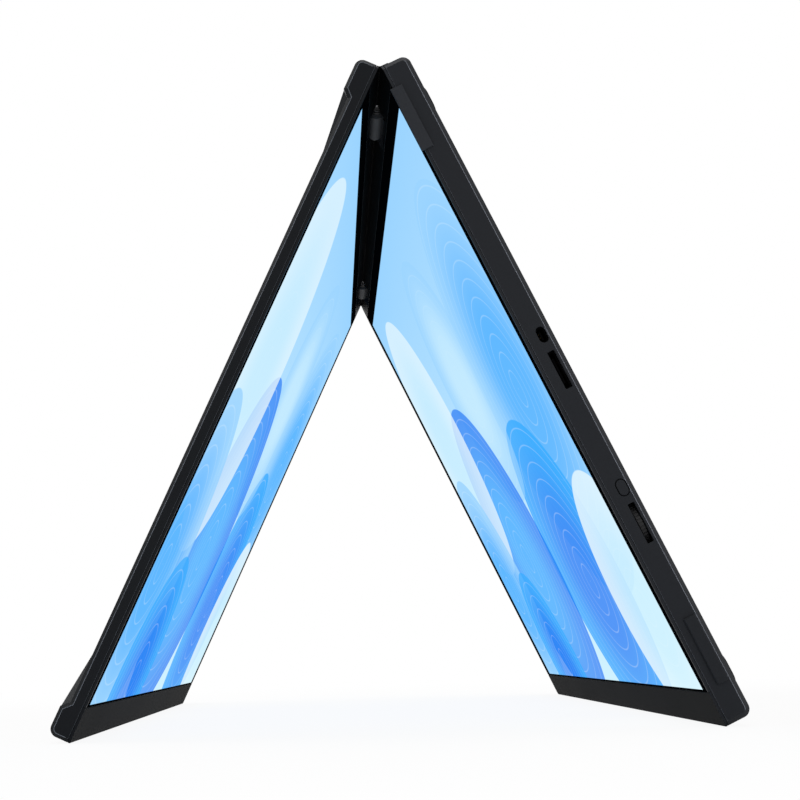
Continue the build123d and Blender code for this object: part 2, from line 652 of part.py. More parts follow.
# Soft seal on the end of the main panel, its bead closes the slit between the panels
with BuildPart() as hinge_seal:
    seal_end = half_length - MAIN_BEVEL
    notch_reach = notch_half + SEAL_GAP
    seal_runs = (
        (-seal_end, near_hinge - notch_reach),
        (near_hinge + notch_reach, far_hinge - notch_reach),
        (far_hinge + notch_reach, seal_end),
    )
    for start, end in seal_runs:
        with BuildSketch(across(main, (start + end) / 2)):
            with Locations((0, -PIVOT_OUT)):
                Circle(SEAL_BEAD)
            with Locations((END_GAP - SEAL / 2, (SEAL_DEPTH - PIVOT_OUT) / 2)):
                Rectangle(SEAL, SEAL_DEPTH + PIVOT_OUT)
        extrude(amount=(end - start) / 2, both=True)
hinge_seal.part.label = "hinge_seal"
export_step(hinge_seal.part, "parts/hinge_seal.step")

# Countersunk screws through the hinge plates into the bosses
screw_sets = (("main", main, main_floor, main_plate_screws), ("lid", lid, lid_floor, lid_plate_screws))
for panel_name, panel, floor, places in screw_sets:
    with BuildPart() as plate_screws:
        with BuildSketch(panel.offset(plate_front)):
            with Locations(places):
                Circle(SCREW_RADIUS + SCREW_HEAD)
        extrude(amount=SCREW_HEAD, taper=45)
        with BuildSketch(panel.offset(plate_front)):
            with Locations(places):
                Circle(SCREW_RADIUS)
        extrude(amount=floor - plate_front - SCREW_PLAY)
    plate_screws.part.label = f"{panel_name}_hinge_screws"
    export_step(plate_screws.part, f"parts/{panel_name}_hinge_screws.step")

with BuildPart() as main_cover_screws:
    with BuildSketch(main.offset(MAIN_DEPTH)):
        with Locations(cover_screws):
            Circle(COVER_SCREW_RADIUS + COVER_SCREW_HEAD)
    extrude(amount=-COVER_SCREW_HEAD, taper=45)
    with BuildSketch(main.offset(MAIN_DEPTH)):
        with Locations(cover_screws):
            Circle(COVER_SCREW_RADIUS)
    extrude(amount=-COVER_SCREW_REACH)
main_cover_screws.part.label = "main_cover_screws"
export_step(main_cover_screws.part, "parts/main_cover_screws.step")

# Control board with the sockets, the switch and the wheel encoder that stand on it
with BuildPart() as control_board:
    with BuildSketch(main.offset(board_front)):
        with Locations((board_middle, board_y)):
            Rectangle(BOARD_LENGTH, BOARD_WIDTH)
        with Locations(board_pins):
            Circle(BOARD_PIN_RADIUS + SCREW_PLAY, mode=Mode.SUBTRACT)
    extrude(amount=BOARD)
control_board.part.label = "control_board"
export_step(control_board.part, "parts/control_board.step")

with BuildPart() as power_socket:
    with BuildSketch(near_inside):
        with Locations((POWER_AT, PORT_LEVEL)):
            SlotOverall(POWER_LENGTH - 2 * FIT, POWER_HEIGHT - 2 * FIT)
    extrude(amount=-POWER_REACH)
    with BuildSketch(near_inside):
        with Locations((POWER_AT, PORT_LEVEL)):
            SlotOverall(POWER_LENGTH - 2 * (FIT + PORT_SHELL), POWER_HEIGHT - 2 * (FIT + PORT_SHELL))
    extrude(amount=-(POWER_REACH - PORT_SHELL), mode=Mode.SUBTRACT)
    with BuildSketch(near_inside.offset(-TONGUE_SETBACK)):
        with Locations((POWER_AT, PORT_LEVEL)):
            Rectangle(POWER_LENGTH / 2, TONGUE)
    extrude(amount=-(POWER_REACH - TONGUE_SETBACK))
    with BuildSketch(near_inside.offset(-BOARD_INSET)):
        with Locations((POWER_AT, board_back + PORT_SHELL / 2)):
            Rectangle(POWER_LENGTH - POWER_HEIGHT, PORT_SHELL)
    extrude(amount=-(POWER_REACH - BOARD_INSET))
power_socket.part.label = "power_socket"
export_step(power_socket.part, "parts/power_socket.step")

with BuildPart() as video_socket:
    video_base = VIDEO_LEVEL - VIDEO_HEIGHT / 2 + FIT + PORT_SHELL / 2
    with BuildSketch(near_inside):
        with Locations((VIDEO_AT, VIDEO_LEVEL)):
            RectangleRounded(VIDEO_LENGTH - 2 * FIT, VIDEO_HEIGHT - 2 * FIT, VIDEO_ROUND)
    extrude(amount=-VIDEO_REACH)
    with BuildSketch(near_inside):
        with Locations((VIDEO_AT, VIDEO_LEVEL)):
            Rectangle(VIDEO_LENGTH - 2 * (FIT + PORT_SHELL), VIDEO_HEIGHT - 2 * (FIT + PORT_SHELL))
    extrude(amount=-(VIDEO_REACH - PORT_SHELL), mode=Mode.SUBTRACT)
    with BuildSketch(near_inside.offset(-TONGUE_SETBACK)):
        with Locations((VIDEO_AT, VIDEO_LEVEL)):
            Rectangle(VIDEO_LENGTH * 2 / 3, TONGUE)
    extrude(amount=-(VIDEO_REACH - TONGUE_SETBACK))
    with BuildSketch(near_inside.offset(-BOARD_INSET)):
        with Locations((VIDEO_AT, (board_back + video_base) / 2)):
            Rectangle(VIDEO_LENGTH - 2 * (VIDEO_ROUND + PORT_SHELL), video_base - board_back)
    extrude(amount=-(VIDEO_REACH - BOARD_INSET))
video_socket.part.label = "video_socket"
export_step(video_socket.part, "parts/video_socket.step")

with BuildPart() as power_button:
    with BuildSketch(near_face):
        with Locations((button_at, PORT_LEVEL)):
            SlotOverall(BUTTON_LENGTH, BUTTON_HEIGHT)
    extrude(amount=-WALL)
    fillet(edges().group_by(Axis.Y)[0], BUTTON_ROUND)
    with BuildSketch(near_inside):
        with Locations((button_at, PORT_LEVEL)):
            SlotOverall(
                BUTTON_LENGTH + 2 * (BUTTON_GAP + BUTTON_LIP),
                BUTTON_HEIGHT + BUTTON_GAP,
            )
    extrude(amount=-BUTTON_FLANGE)
power_button.part.label = "power_button"
export_step(power_button.part, "parts/power_button.step")

with BuildPart() as button_switch:
    plunger_start = BUTTON_FLANGE + BUTTON_TRAVEL + PLUNGER_GAP
    with BuildSketch(near_inside.offset(-plunger_start)):
        with Locations((button_at, PORT_LEVEL)):
            Circle(PLUNGER_RADIUS)
    extrude(amount=-(PLUNGER + SWITCH_REACH / 2))
    with BuildSketch(near_inside.offset(-(plunger_start + PLUNGER))):
        with Locations((button_at, board_back + SWITCH_HEIGHT / 2)):
            Rectangle(SWITCH_LENGTH, SWITCH_HEIGHT)
    extrude(amount=-SWITCH_REACH)
button_switch.part.label = "button_switch"
export_step(button_switch.part, "parts/button_switch.step")

with BuildPart() as scroll_wheel:
    with BuildSketch(main.offset(WHEEL_LEVEL - WHEEL_THICK / 2)):
        with Locations((wheel_at, wheel_y)):
            Circle(WHEEL_RADIUS)
            with PolarLocations(WHEEL_RADIUS, WHEEL_RIDGES):
                Rectangle(2 * RIDGE_DEPTH, RIDGE_WIDTH, mode=Mode.SUBTRACT)
            Circle(POST_RADIUS + POST_PLAY, mode=Mode.SUBTRACT)
    extrude(amount=WHEEL_THICK)
scroll_wheel.part.label = "scroll_wheel"
export_step(scroll_wheel.part, "parts/scroll_wheel.step")

with BuildPart() as wheel_encoder:
    wheel_front = WHEEL_LEVEL - WHEEL_THICK / 2
    with BuildSketch(main.offset(board_back)):
        with Locations((wheel_at, wheel_y)):
            RectangleRounded(ENCODER_SIDE, ENCODER_SIDE, POST_RADIUS)
    extrude(amount=wheel_front - WHEEL_GAP - board_back)
    with BuildSketch(main.offset(board_back)):
        with Locations((wheel_at, wheel_y)):
            Circle(POST_RADIUS)
    extrude(amount=wheel_front + WHEEL_THICK + WHEEL_GAP - board_back)
wheel_encoder.part.label = "wheel_encoder"
export_step(wheel_encoder.part, "parts/wheel_encoder.step")

# Bumpers on both short sides of the main panel, and the four feet on its back
with BuildPart() as front_bumpers:
    bumper_middle = FRONT_BUMPER_AT + FRONT_BUMPER_LENGTH / 2
    for side in (-1, 1):
        with BuildSketch(across(main, side * half_length)):
            with Locations((bumper_middle, FRONT_BUMPER_DEPTH / 2)):
                Rectangle(FRONT_BUMPER_LENGTH, FRONT_BUMPER_DEPTH)
        extrude(amount=-side * BUMPER_RISE)
    with BuildSketch(across(main, -half_length - BUMPER_GAP)):
        with Locations((bumper_middle, -FRONT_BUMPER_PROUD / 2)):
            Rectangle(FRONT_BUMPER_LENGTH, FRONT_BUMPER_PROUD)
    extrude(amount=BUMPER_RISE - BUMPER_GAP)
    outer_faces = [faces().sort_by(Axis.Y)[0], faces().sort_by(Axis.Y)[-1]]
    fillet([edge for face in outer_faces for edge in face.edges()], BUMPER_ROUND)
front_bumpers.part.label = "front_bumpers"
export_step(front_bumpers.part, "parts/front_bumpers.step")

with BuildPart() as rear_bumpers:
    bumper_middle = panel_end - REAR_BUMPER_FROM_END - REAR_BUMPER_LENGTH / 2
    for side in (-1, 1):
        with BuildSketch(across(main, side * half_length)):
            with Locations((bumper_middle, REAR_BUMPER_START + REAR_BUMPER_DEPTH / 2)):
                Rectangle(REAR_BUMPER_LENGTH, REAR_BUMPER_DEPTH)
            fillet(vertices().group_by(Axis.X)[-1], REAR_BUMPER_CORNER)
        extrude(amount=-side * BUMPER_RISE)
    outer_faces = [faces().sort_by(Axis.Y)[0], faces().sort_by(Axis.Y)[-1]]
    fillet([edge for face in outer_faces for edge in face.edges()], BUMPER_ROUND)
rear_bumpers.part.label = "rear_bumpers"
export_step(rear_bumpers.part, "parts/rear_bumpers.step")

with BuildPart() as rear_feet:
    foot_y = half_length - FOOT_SIDE - FOOT_WIDTH / 2
    with BuildSketch(main.offset(MAIN_DEPTH)):
        with Locations([(s, y) for s in (FOOT_END, panel_end - FOOT_CHIN) for y in (-foot_y, foot_y)]):
            RectangleRounded(FOOT_LENGTH, FOOT_WIDTH, FOOT_LENGTH / 3)
    extrude(amount=FOOT_HEIGHT)
    fillet(edges().group_by(main_depth)[-1], FOOT_ROUND)
rear_feet.part.label = "rear_feet"
export_step(rear_feet.part, "parts/rear_feet.step")

# Threaded inserts for an arm or wall plate, at the bore that an M4 bolt passes
with BuildPart() as plate_inserts:
    with BuildSketch(main.offset(MAIN_DEPTH)):
        with Locations(insert_places):
            Circle(INSERT_RADIUS)
            Circle(INSERT_BORE, mode=Mode.SUBTRACT)
    extrude(amount=-INSERT_LENGTH)
plate_inserts.part.label = "plate_inserts"
export_step(plate_inserts.part, "parts/plate_inserts.step")

# Speakers behind their grilles
for end_name, side in (("near", -1), ("far", 1)):
    with BuildPart() as speaker:
        with BuildSketch(main.offset(main_floor)):
            with Locations((speaker_s, side * speaker_y)):
                RectangleRounded(SPEAKER_HEIGHT, SPEAKER_WIDTH, SPEAKER_ROUND)
        extrude(amount=-SPEAKER_DEPTH)
        with BuildSketch(main.offset(main_floor)):
            with Locations((speaker_s, side * speaker_y)):
                RectangleRounded(SPEAKER_HEIGHT - 2 * WALL, SPEAKER_WIDTH - 2 * WALL, SPEAKER_ROUND)
        extrude(amount=-SPEAKER_DEPTH / 2, mode=Mode.SUBTRACT)
    speaker.part.label = f"speaker_{end_name}"
    export_step(speaker.part, f"parts/speaker_{end_name}.step")

# Flat display cables, taped to the back of each LCD, and the driver board of the lid
with BuildPart() as main_display_cable:
    with BuildSketch(main.offset(lcd_back)):
        with Locations(((lcd_start + WALL + board_middle) / 2, -CABLE_AT)):
            Rectangle(board_middle - lcd_start - WALL, CABLE_WIDTH)
        with Locations((board_middle - CABLE_WIDTH / 2, (board_y - CABLE_AT) / 2)):
            Rectangle(CABLE_WIDTH, -CABLE_AT - board_y + CABLE_WIDTH)
    extrude(amount=CABLE)
main_display_cable.part.label = "main_display_cable"
export_step(main_display_cable.part, "parts/main_display_cable.step")

with BuildPart() as lid_display_cable:
    with BuildSketch(lid.offset(lcd_back)):
        with Locations(((lcd_start + WALL + lid_board_end) / 2, CABLE_AT)):
            Rectangle(lid_board_end - lcd_start - WALL, CABLE_WIDTH)
        with Locations((lid_board_end - CABLE_WIDTH / 2, CABLE_AT / 2)):
            Rectangle(CABLE_WIDTH, CABLE_AT + CABLE_WIDTH)
    extrude(amount=CABLE)
lid_display_cable.part.label = "lid_display_cable"
export_step(lid_display_cable.part, "parts/lid_display_cable.step")

with BuildPart() as lid_driver_board:
    with BuildSketch(lid.offset(lcd_back + CABLE)):
        with Locations((lid_board_end - LID_BOARD_HEIGHT / 2, 0)):
            Rectangle(LID_BOARD_HEIGHT, LID_BOARD_WIDTH)
    extrude(amount=BOARD)
lid_driver_board.part.label = "lid_driver_board"
export_step(lid_driver_board.part, "parts/lid_driver_board.step")
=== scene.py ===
# %% [markdown]
# # A stacked dual-screen monitor, standing as a tent
#
# The real object is two thin display panels joined along one long side by two friction hinges.
# The solid model already has every shell, bumper, port and hinge piece at its true size, so this
# lesson only dresses it: camera, light, finishes, the two lit pictures and the finest details.
# It keeps the axes of the solid model. Blender counts in metres, so sizes in mm are multiplied by MM.

# %% Load the solid model as a fixed frame
import json
import math

import bpy
from mathutils import Matrix, Vector


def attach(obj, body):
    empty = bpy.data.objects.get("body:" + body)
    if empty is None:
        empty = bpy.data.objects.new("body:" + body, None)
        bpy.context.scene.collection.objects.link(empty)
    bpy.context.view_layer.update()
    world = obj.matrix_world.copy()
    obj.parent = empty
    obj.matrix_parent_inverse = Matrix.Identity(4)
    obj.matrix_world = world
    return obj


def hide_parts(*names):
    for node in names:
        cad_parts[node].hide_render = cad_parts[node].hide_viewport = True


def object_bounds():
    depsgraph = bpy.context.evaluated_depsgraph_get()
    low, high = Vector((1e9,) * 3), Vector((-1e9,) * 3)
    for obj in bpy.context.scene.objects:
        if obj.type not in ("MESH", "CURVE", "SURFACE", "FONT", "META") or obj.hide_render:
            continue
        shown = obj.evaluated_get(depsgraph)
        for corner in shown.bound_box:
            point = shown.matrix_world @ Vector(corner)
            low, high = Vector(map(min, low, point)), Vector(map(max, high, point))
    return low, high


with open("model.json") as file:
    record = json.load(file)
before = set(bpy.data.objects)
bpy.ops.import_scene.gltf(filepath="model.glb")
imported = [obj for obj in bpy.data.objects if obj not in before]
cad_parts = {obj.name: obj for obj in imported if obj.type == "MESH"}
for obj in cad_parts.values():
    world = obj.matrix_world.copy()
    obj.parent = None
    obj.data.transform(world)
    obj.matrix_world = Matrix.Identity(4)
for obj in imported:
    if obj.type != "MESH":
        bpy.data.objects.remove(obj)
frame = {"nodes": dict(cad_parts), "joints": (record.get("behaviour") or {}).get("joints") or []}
cad_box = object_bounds()
scene = bpy.context.scene
scene.view_settings.view_transform = "Standard"
MM = 0.001

# %% [markdown]
# ## Axes of the two panels
# Both panels lean away from the hinge by the same angle. Working in a panel's own axes, down from
# the hinge, along it and out of the back, is simpler than working in the tilted world ones.
# The hinge line and the lean come from the fold joint of the solid model, so nothing is measured twice.

# %% Panel axes from the fold joint
fold = next(joint for joint in frame["joints"] if joint["name"] == "fold")
pivot = Vector(fold["pos_m"])
lean = math.radians(-fold["range_deg"][0]) / 2


def panel_axes(side):
    """Matrix from a panel's own axes, with x down, y along the hinge and z out of the back."""
    down = Vector((side * math.sin(lean), 0, -math.cos(lean)))
    back = Vector((side * math.cos(lean), 0, math.sin(lean)))
    along = back.cross(down)
    turn = Matrix((down, along, back)).transposed()
    return Matrix.Translation(pivot) @ turn.to_4x4()


def span(name, axes):
    """Lowest and highest corner of a solid node, measured in a panel's own axes."""
    to_panel = axes.inverted()
    points = [to_panel @ vertex.co for vertex in frame["nodes"][name].data.vertices]
    low = Vector([min(point[i] for point in points) for i in range(3)])
    high = Vector([max(point[i] for point in points) for i in range(3)])
    return low, high


main_axes = panel_axes(1)
lid_axes = panel_axes(-1)
print("lean of each panel:", round(math.degrees(lean), 2), "degrees")

# %% [markdown]
# ## The camera
# The picture was taken from just above the table, at the end of the hinge line, with a long lens.
# A camera could be aimed with a constraint, but three plain angles are easier to read and to change.
# It is placed from the hinge line, so it keeps its view if the panels change. The lens and the small
# shift put the horizon and the framing where the picture has them.

# %% Camera at the end of the hinge line
CAMERA_FROM_HINGE = (-17.93, -653.87, -173.38)
CAMERA_ANGLES = (99.66, 1.381, -0.636)

camera_data = bpy.data.cameras.new("end_view")
camera_data.lens = 74.6
camera_data.sensor_width = 36.0
camera_data.shift_x = 0.06
camera_data.shift_y = -0.04
camera_data.clip_start = 0.01
camera = bpy.data.objects.new("end_view", camera_data)
camera.location = pivot + Vector(CAMERA_FROM_HINGE) * MM
camera.rotation_euler = [math.radians(angle) for angle in CAMERA_ANGLES]
scene.collection.objects.link(camera)
scene.camera = camera
print("camera at", [round(value, 4) for value in camera.location])

# %% [markdown]
# ## Helpers for nodes
# Light, finishes and small pieces below are all networks of nodes. Wiring them one link at a time takes
# many lines, so a few helpers do it in one call each: any node, a sum, a value kept between two limits,
# noise, colours made lighter or mixed, and a group with named sockets.


# %% Node helpers
def node(tree, kind, inputs=None, **settings):
    """Adds a node. An input is a plain value or the output socket that feeds it."""
    made = tree.nodes.new(kind)
    for name, value in settings.items():
        setattr(made, name, value)
    for key, value in (inputs or {}).items():
        if isinstance(value, bpy.types.NodeSocket):
            tree.links.new(value, made.inputs[key])
        else:
            made.inputs[key].default_value = value
    return made


def worked(tree, operation, *values):
    """Output of a sum on one or more values."""
    return node(tree, "ShaderNodeMath", dict(enumerate(values)), operation=operation).outputs[0]


def measured(tree, operation, *vectors):
    """Output of a single value, such as a length, that is taken from one or two vectors."""
    made = node(tree, "ShaderNodeVectorMath", dict(enumerate(vectors)), operation=operation)
    return made.outputs["Value"]


def ranged(tree, value, start, stop, low=0.0, high=1.0, **settings):
    """Output that goes from low to high while a value goes from start to stop, and no further."""
    inputs = {"Value": value, "From Min": start, "From Max": stop, "To Min": low, "To Max": high}
    return node(tree, "ShaderNodeMapRange", inputs, **settings).outputs[0]


def own_place(tree):
    """Output of the object's own coordinates, in metres."""
    return node(tree, "ShaderNodeTexCoord").outputs["Object"]


def noise(tree, place, scale, detail):
    """Output of a noise from 0 to 1, with about scale grains in a metre."""
    inputs = {"Vector": place, "Scale": scale, "Detail": detail}
    return node(tree, "ShaderNodeTexNoise", inputs).outputs["Fac"]


print("node helpers ready")


# %% Colour and material helpers
def scaled(tree, colour, factor):
    """Output of a colour made factor times as light."""
    inputs = {0: colour, "Scale": factor}
    return node(tree, "ShaderNodeVectorMath", inputs, operation="SCALE").outputs["Vector"]


def mix_colours(tree, factor, first, second):
    """Output that goes from the first colour to the second as factor goes from 0 to 1."""
    inputs = {0: factor, 6: first, 7: second}
    return node(tree, "ShaderNodeMix", inputs, data_type="RGBA").outputs[2]


def shader_group(name, inputs, outputs):
    """Starts a shader node group with named sockets, and returns it with its two end nodes."""
    group = bpy.data.node_groups.new(name, "ShaderNodeTree")
    for label, kind, value in inputs:
        socket = group.interface.new_socket(label, in_out="INPUT", socket_type=kind)
        if value is not None:
            socket.default_value = value
    for label, kind in outputs:
        group.interface.new_socket(label, in_out="OUTPUT", socket_type=kind)
    return group, group.nodes.new("NodeGroupInput"), group.nodes.new("NodeGroupOutput")


def principled(name, **values):
    """A new material whose plain values sit on the shader's own sockets."""
    made = bpy.data.materials.new(name)
    made.use_nodes = True
    shader = made.node_tree.nodes["Principled BSDF"]
    for key, value in values.items():
        shader.inputs[key.replace("_", " ").replace("Ior", "IOR")].default_value = value
    return made, made.node_tree, shader


def dress(finish, *names):
    """Puts a material on the named solid nodes."""
    for name in names:
        slots = frame["nodes"][name].data.materials
        slots.clear()
        slots.append(finish)


print("material helpers ready")

# %% [markdown]
# ## Table and light
# The object stands on a plain white table in front of nothing at all. A white sweep could be modelled,
# but a large flat floor and a white world do the same. Both are plain white where the camera, a glossy
# surface or glass sees them, and give ordinary soft light otherwise. Near the object the floor lets a
# little of its own shading through, so the shadow under the panels stays, and further out it turns plain
# white, so that no horizon shows.

# %% White world and floor
WHITE = (1, 1, 1, 1)
AMBIENT = 0.45
FLOOR_GREY = (0.85, 0.85, 0.85, 1)
FLOOR_HALF = 4.0
SHADOW_SHARE = 0.08
SHADOW_REACH = (0.22, 0.50)


def seen_directly(tree):
    """Output that is 1 for rays from the camera, from gloss and through glass."""
    path = node(tree, "ShaderNodeLightPath").outputs
    first = worked(tree, "MAXIMUM", path["Is Camera Ray"], path["Is Glossy Ray"])
    return worked(tree, "MAXIMUM", first, path["Is Transmission Ray"])


world = bpy.data.worlds.new("white_room")
world.use_nodes = True
scene.world = world
tree = world.node_tree
dim = tree.nodes["Background"]
dim.inputs["Color"].default_value = WHITE
dim.inputs["Strength"].default_value = AMBIENT
white = node(tree, "ShaderNodeBackground", {"Color": WHITE, "Strength": 1.0})
mix = node(
    tree, "ShaderNodeMixShader", {"Fac": seen_directly(tree), 1: dim.outputs[0], 2: white.outputs[0]}
)
tree.links.new(mix.outputs[0], tree.nodes["World Output"].inputs["Surface"])

floor_material, tree, shaded = principled(
    "white_table", Base_Color=FLOOR_GREY, Roughness=0.9, Specular_Ior_Level=0.0
)
plain = node(tree, "ShaderNodeEmission")
away = measured(tree, "LENGTH", own_place(tree))
fade = ranged(tree, away, *SHADOW_REACH, low=1 - SHADOW_SHARE)
share = worked(tree, "MULTIPLY", seen_directly(tree), fade)
mix = node(tree, "ShaderNodeMixShader", {"Fac": share, 1: shaded.outputs[0], 2: plain.outputs[0]})
tree.links.new(mix.outputs[0], tree.nodes["Material Output"].inputs["Surface"])

floor_mesh = bpy.data.meshes.new("table")
corners = [(x, y, 0) for x, y in ((-1, -1), (1, -1), (1, 1), (-1, 1))]
floor_mesh.from_pydata([Vector(corner) * FLOOR_HALF for corner in corners], [], [(0, 1, 2, 3)])
floor_mesh.materials.append(floor_material)
floor = bpy.data.objects.new("table", floor_mesh)
scene.collection.objects.link(floor)
print("floor", 2 * FLOOR_HALF, "m wide")

# %% [markdown]
# ## Soft boxes
# The picture shows a bright bevel on the left panel, a dark one on the right, and lighter hinge ends. So
# the main light is high on the left and a weaker one fills from the right. One hangs above, one stands
# beside the camera, and two low ones behind the object light the rims. Square area lamps are the plain
# way to make them. Their power is worked out from the brightness that a soft box should have, which
# keeps the numbers readable.

# %% Six soft boxes
# Name, place and side in metres, and brightness, where 1 is as bright as the white world
SOFT_BOXES = (
    ("box_above", (0.0, 0.1, 1.15), 1.0, 1.4),
    ("box_left", (-0.85, 0.15, 0.85), 0.6, 3.2),
    ("box_right", (0.95, 0.15, 0.42), 0.6, 1.0),
    ("rim_left", (-0.60, 1.0, 0.45), 0.4, 2.5),
    ("rim_right", (0.60, 1.0, 0.45), 0.4, 2.5),
    ("box_front", (0.30, -0.95, 0.35), 0.4, 2.0),
)
target = (cad_box[0] + cad_box[1]) / 2
for name, place, side, brightness in SOFT_BOXES:
    lamp = bpy.data.lights.new(name, "AREA")
    lamp.shape = "SQUARE"
    lamp.size = side
    lamp.energy = brightness * math.pi * side * side
    holder = bpy.data.objects.new(name, lamp)
    holder.location = place
    holder.rotation_euler = (target - Vector(place)).to_track_quat("-Z", "Y").to_euler()
    scene.collection.objects.link(holder)

# %% [markdown]
# ## Satin grain, shared by every paint and plastic
# Anodised metal, paint and moulded plastic all have a fine tooth: it scatters the light, varies the
# gloss a little and is never one flat colour. A picture could carry it, but noise on the object's own
# coordinates needs no unwrapping and keeps its scale on every piece. A second, broad noise stands for
# the faint haze that hands leave.

# %% Group for satin grain
HAZE_PER_METRE = 22.0

satin_grain, start, end = shader_group(
    "satin_grain",
    [
        ("Color", "NodeSocketColor", (0.02, 0.02, 0.02, 1)),
        ("Roughness", "NodeSocketFloat", 0.5),
        ("Grain per metre", "NodeSocketFloat", 3000.0),
        ("Color change", "NodeSocketFloat", 0.2),
        ("Haze", "NodeSocketFloat", 0.08),
    ],
    [("Color", "NodeSocketColor"), ("Roughness", "NodeSocketFloat"), ("Height", "NodeSocketFloat")],
)
take = start.outputs
place = own_place(satin_grain)
tooth = noise(satin_grain, place, take["Grain per metre"], 2.0)
swing = worked(satin_grain, "SUBTRACT", tooth, 0.5)
tint = worked(satin_grain, "MULTIPLY_ADD", swing, take["Color change"], 1.0)
hazy = worked(satin_grain, "SUBTRACT", noise(satin_grain, place, HAZE_PER_METRE, 3.0), 0.5)
gloss = worked(satin_grain, "MULTIPLY_ADD", hazy, take["Haze"], take["Roughness"])
satin_grain.links.new(scaled(satin_grain, take["Color"], tint), end.inputs["Color"])
satin_grain.links.new(gloss, end.inputs["Roughness"])
satin_grain.links.new(tooth, end.inputs["Height"])
print("group", satin_grain.name, "with", len(satin_grain.nodes), "nodes")

# %% [markdown]
# ## Softened edges
# No moulded or milled edge is perfectly sharp, and the thin pale lines along the panels are those tiny
# rounds catching a soft box. They could be bevelled in the mesh, but the solids stay as they are, so a
# Bevel node rounds the shading instead. It also gives two masks where the finishes paint colour paler:
# one of all edges, painted paler as wear and as a painted highlight of the rounding, and one of the fine
# line where a narrow side of a panel turns into its bevel, painted much paler as a painted highlight.
# There the rounded normal is on its way from facing along the hinge to facing half away from it.

# %% Group for softened edges
BEVEL_SAMPLES = 6
# Cosine between the rounded and the flat normal where the edge mask starts, and where it is full
EDGE_LIMITS = (0.998, 0.93)
# Cosine between the rounded normal and the hinge, where the painted highlight line starts and where it
# is full
LINE_FROM_SIDE = (0.988, 0.95)
LINE_FROM_BEVEL = (0.78, 0.90)

soft_edges, start, end = shader_group(
    "soft_edges",
    [("Radius", "NodeSocketFloat", 0.0002)],
    [("Normal", "NodeSocketVector"), ("Edge", "NodeSocketFloat"), ("Side highlight", "NodeSocketFloat")],
)
rounded = node(
    soft_edges, "ShaderNodeBevel", {"Radius": start.outputs["Radius"]}, samples=BEVEL_SAMPLES
).outputs["Normal"]
flat = node(soft_edges, "ShaderNodeNewGeometry").outputs["Normal"]
edge = ranged(soft_edges, measured(soft_edges, "DOT_PRODUCT", rounded, flat), *EDGE_LIMITS)
turned = node(soft_edges, "ShaderNodeSeparateXYZ", {"Vector": rounded}).outputs["Y"]
along = worked(soft_edges, "ABSOLUTE", turned)
leaving = ranged(soft_edges, along, *LINE_FROM_SIDE)
reaching = ranged(soft_edges, along, *LINE_FROM_BEVEL)
line = worked(soft_edges, "MULTIPLY", leaving, reaching)
soft_edges.links.new(rounded, end.inputs["Normal"])
soft_edges.links.new(edge, end.inputs["Edge"])
soft_edges.links.new(line, end.inputs["Side highlight"])
print("group", soft_edges.name, "with", len(soft_edges.nodes), "nodes")

# %% [markdown]
# ## One recipe for paint, anodised metal and plastic
# These surfaces differ in colour, gloss and tooth but are built alike, so one function makes them all. A
# piece in two colours could be split in two, but a mask leaves the solid as it is. The masks come from
# the way a face looks and from its distance to the hinge line.

# %% Function for satin finishes
BUMP_HEIGHT = 0.05


def satin(
    name, colour, roughness, specular, grain=3000.0, depth=0.05, edge_radius=0.2, wear_and_glint=1.4,
    highlight_gain=1.0, highlight_at=None, mask=None, second=None,
):
    """Paint, anodised metal or plastic: grain in colour, gloss and bump, with softened, paler edges.

    The edges are painted paler by one factor, as wear and as a painted highlight of their rounding.
    The line along the narrow sides is a painted highlight, made paler by a second factor where the
    line mask lets it show. Where a mask is given, the second colour shows where it is 1."""
    finish, tree, shader = principled(name, Specular_Ior_Level=specular)
    base = (*colour, 1)
    if mask:
        base = mix_colours(tree, mask(tree), base, (*second, 1))
    tooth = node(
        tree,
        "ShaderNodeGroup",
        {"Color": base, "Roughness": roughness, "Grain per metre": grain},
        node_tree=satin_grain,
    ).outputs
    edges = node(
        tree, "ShaderNodeGroup", {"Radius": edge_radius * MM}, node_tree=soft_edges
    ).outputs
    line = edges["Side highlight"]
    if highlight_at:
        line = worked(tree, "MULTIPLY", line, highlight_at(tree))
    # Edges are painted paler, as wear and as a painted highlight of their rounding.
    wear_and_glint_colour = scaled(tree, tooth["Color"], wear_and_glint)
    # Painted highlight: the line along the narrow sides gets a base colour many times paler.
    highlighted = scaled(tree, tooth["Color"], highlight_gain)
    shade = mix_colours(tree, edges["Edge"], tooth["Color"], wear_and_glint_colour)
    shade = mix_colours(tree, line, shade, highlighted)
    bump = node(
        tree,
        "ShaderNodeBump",
        {
            "Strength": depth,
            "Distance": BUMP_HEIGHT * MM,
            "Height": tooth["Height"],
            "Normal": edges["Normal"],
        },
    )
    tree.links.new(shade, shader.inputs["Base Color"])
    tree.links.new(tooth["Roughness"], shader.inputs["Roughness"])
    tree.links.new(bump.outputs["Normal"], shader.inputs["Normal"])
    return finish


print("satin recipe ready")

# %% Functions for masks
SIDE_LIMITS = (0.5, 0.7)


def narrow_sides(tree):
    """Mask of the faces that look along the hinge line, which are the narrow sides of a panel."""
    facing = node(tree, "ShaderNodeTexCoord").outputs["Normal"]
    along = node(tree, "ShaderNodeSeparateXYZ", {"Vector": facing}).outputs["Y"]
    return ranged(tree, worked(tree, "ABSOLUTE", along), *SIDE_LIMITS)


def from_hinge(tree):
    """Output of the way from the hinge line to a place on the object."""
    inputs = {0: own_place(tree), 1: pivot}
    return node(tree, "ShaderNodeVectorMath", inputs, operation="SUBTRACT").outputs["Vector"]


def ramp(tree, direction, start, stop, top=1.0):
    """Mask that rises to top where the distance from the hinge line, in a direction, goes past stop."""
    distance = measured(tree, "DOT_PRODUCT", from_hinge(tree), direction)
    return ranged(tree, distance, start, stop, high=top)


print("masks ready")
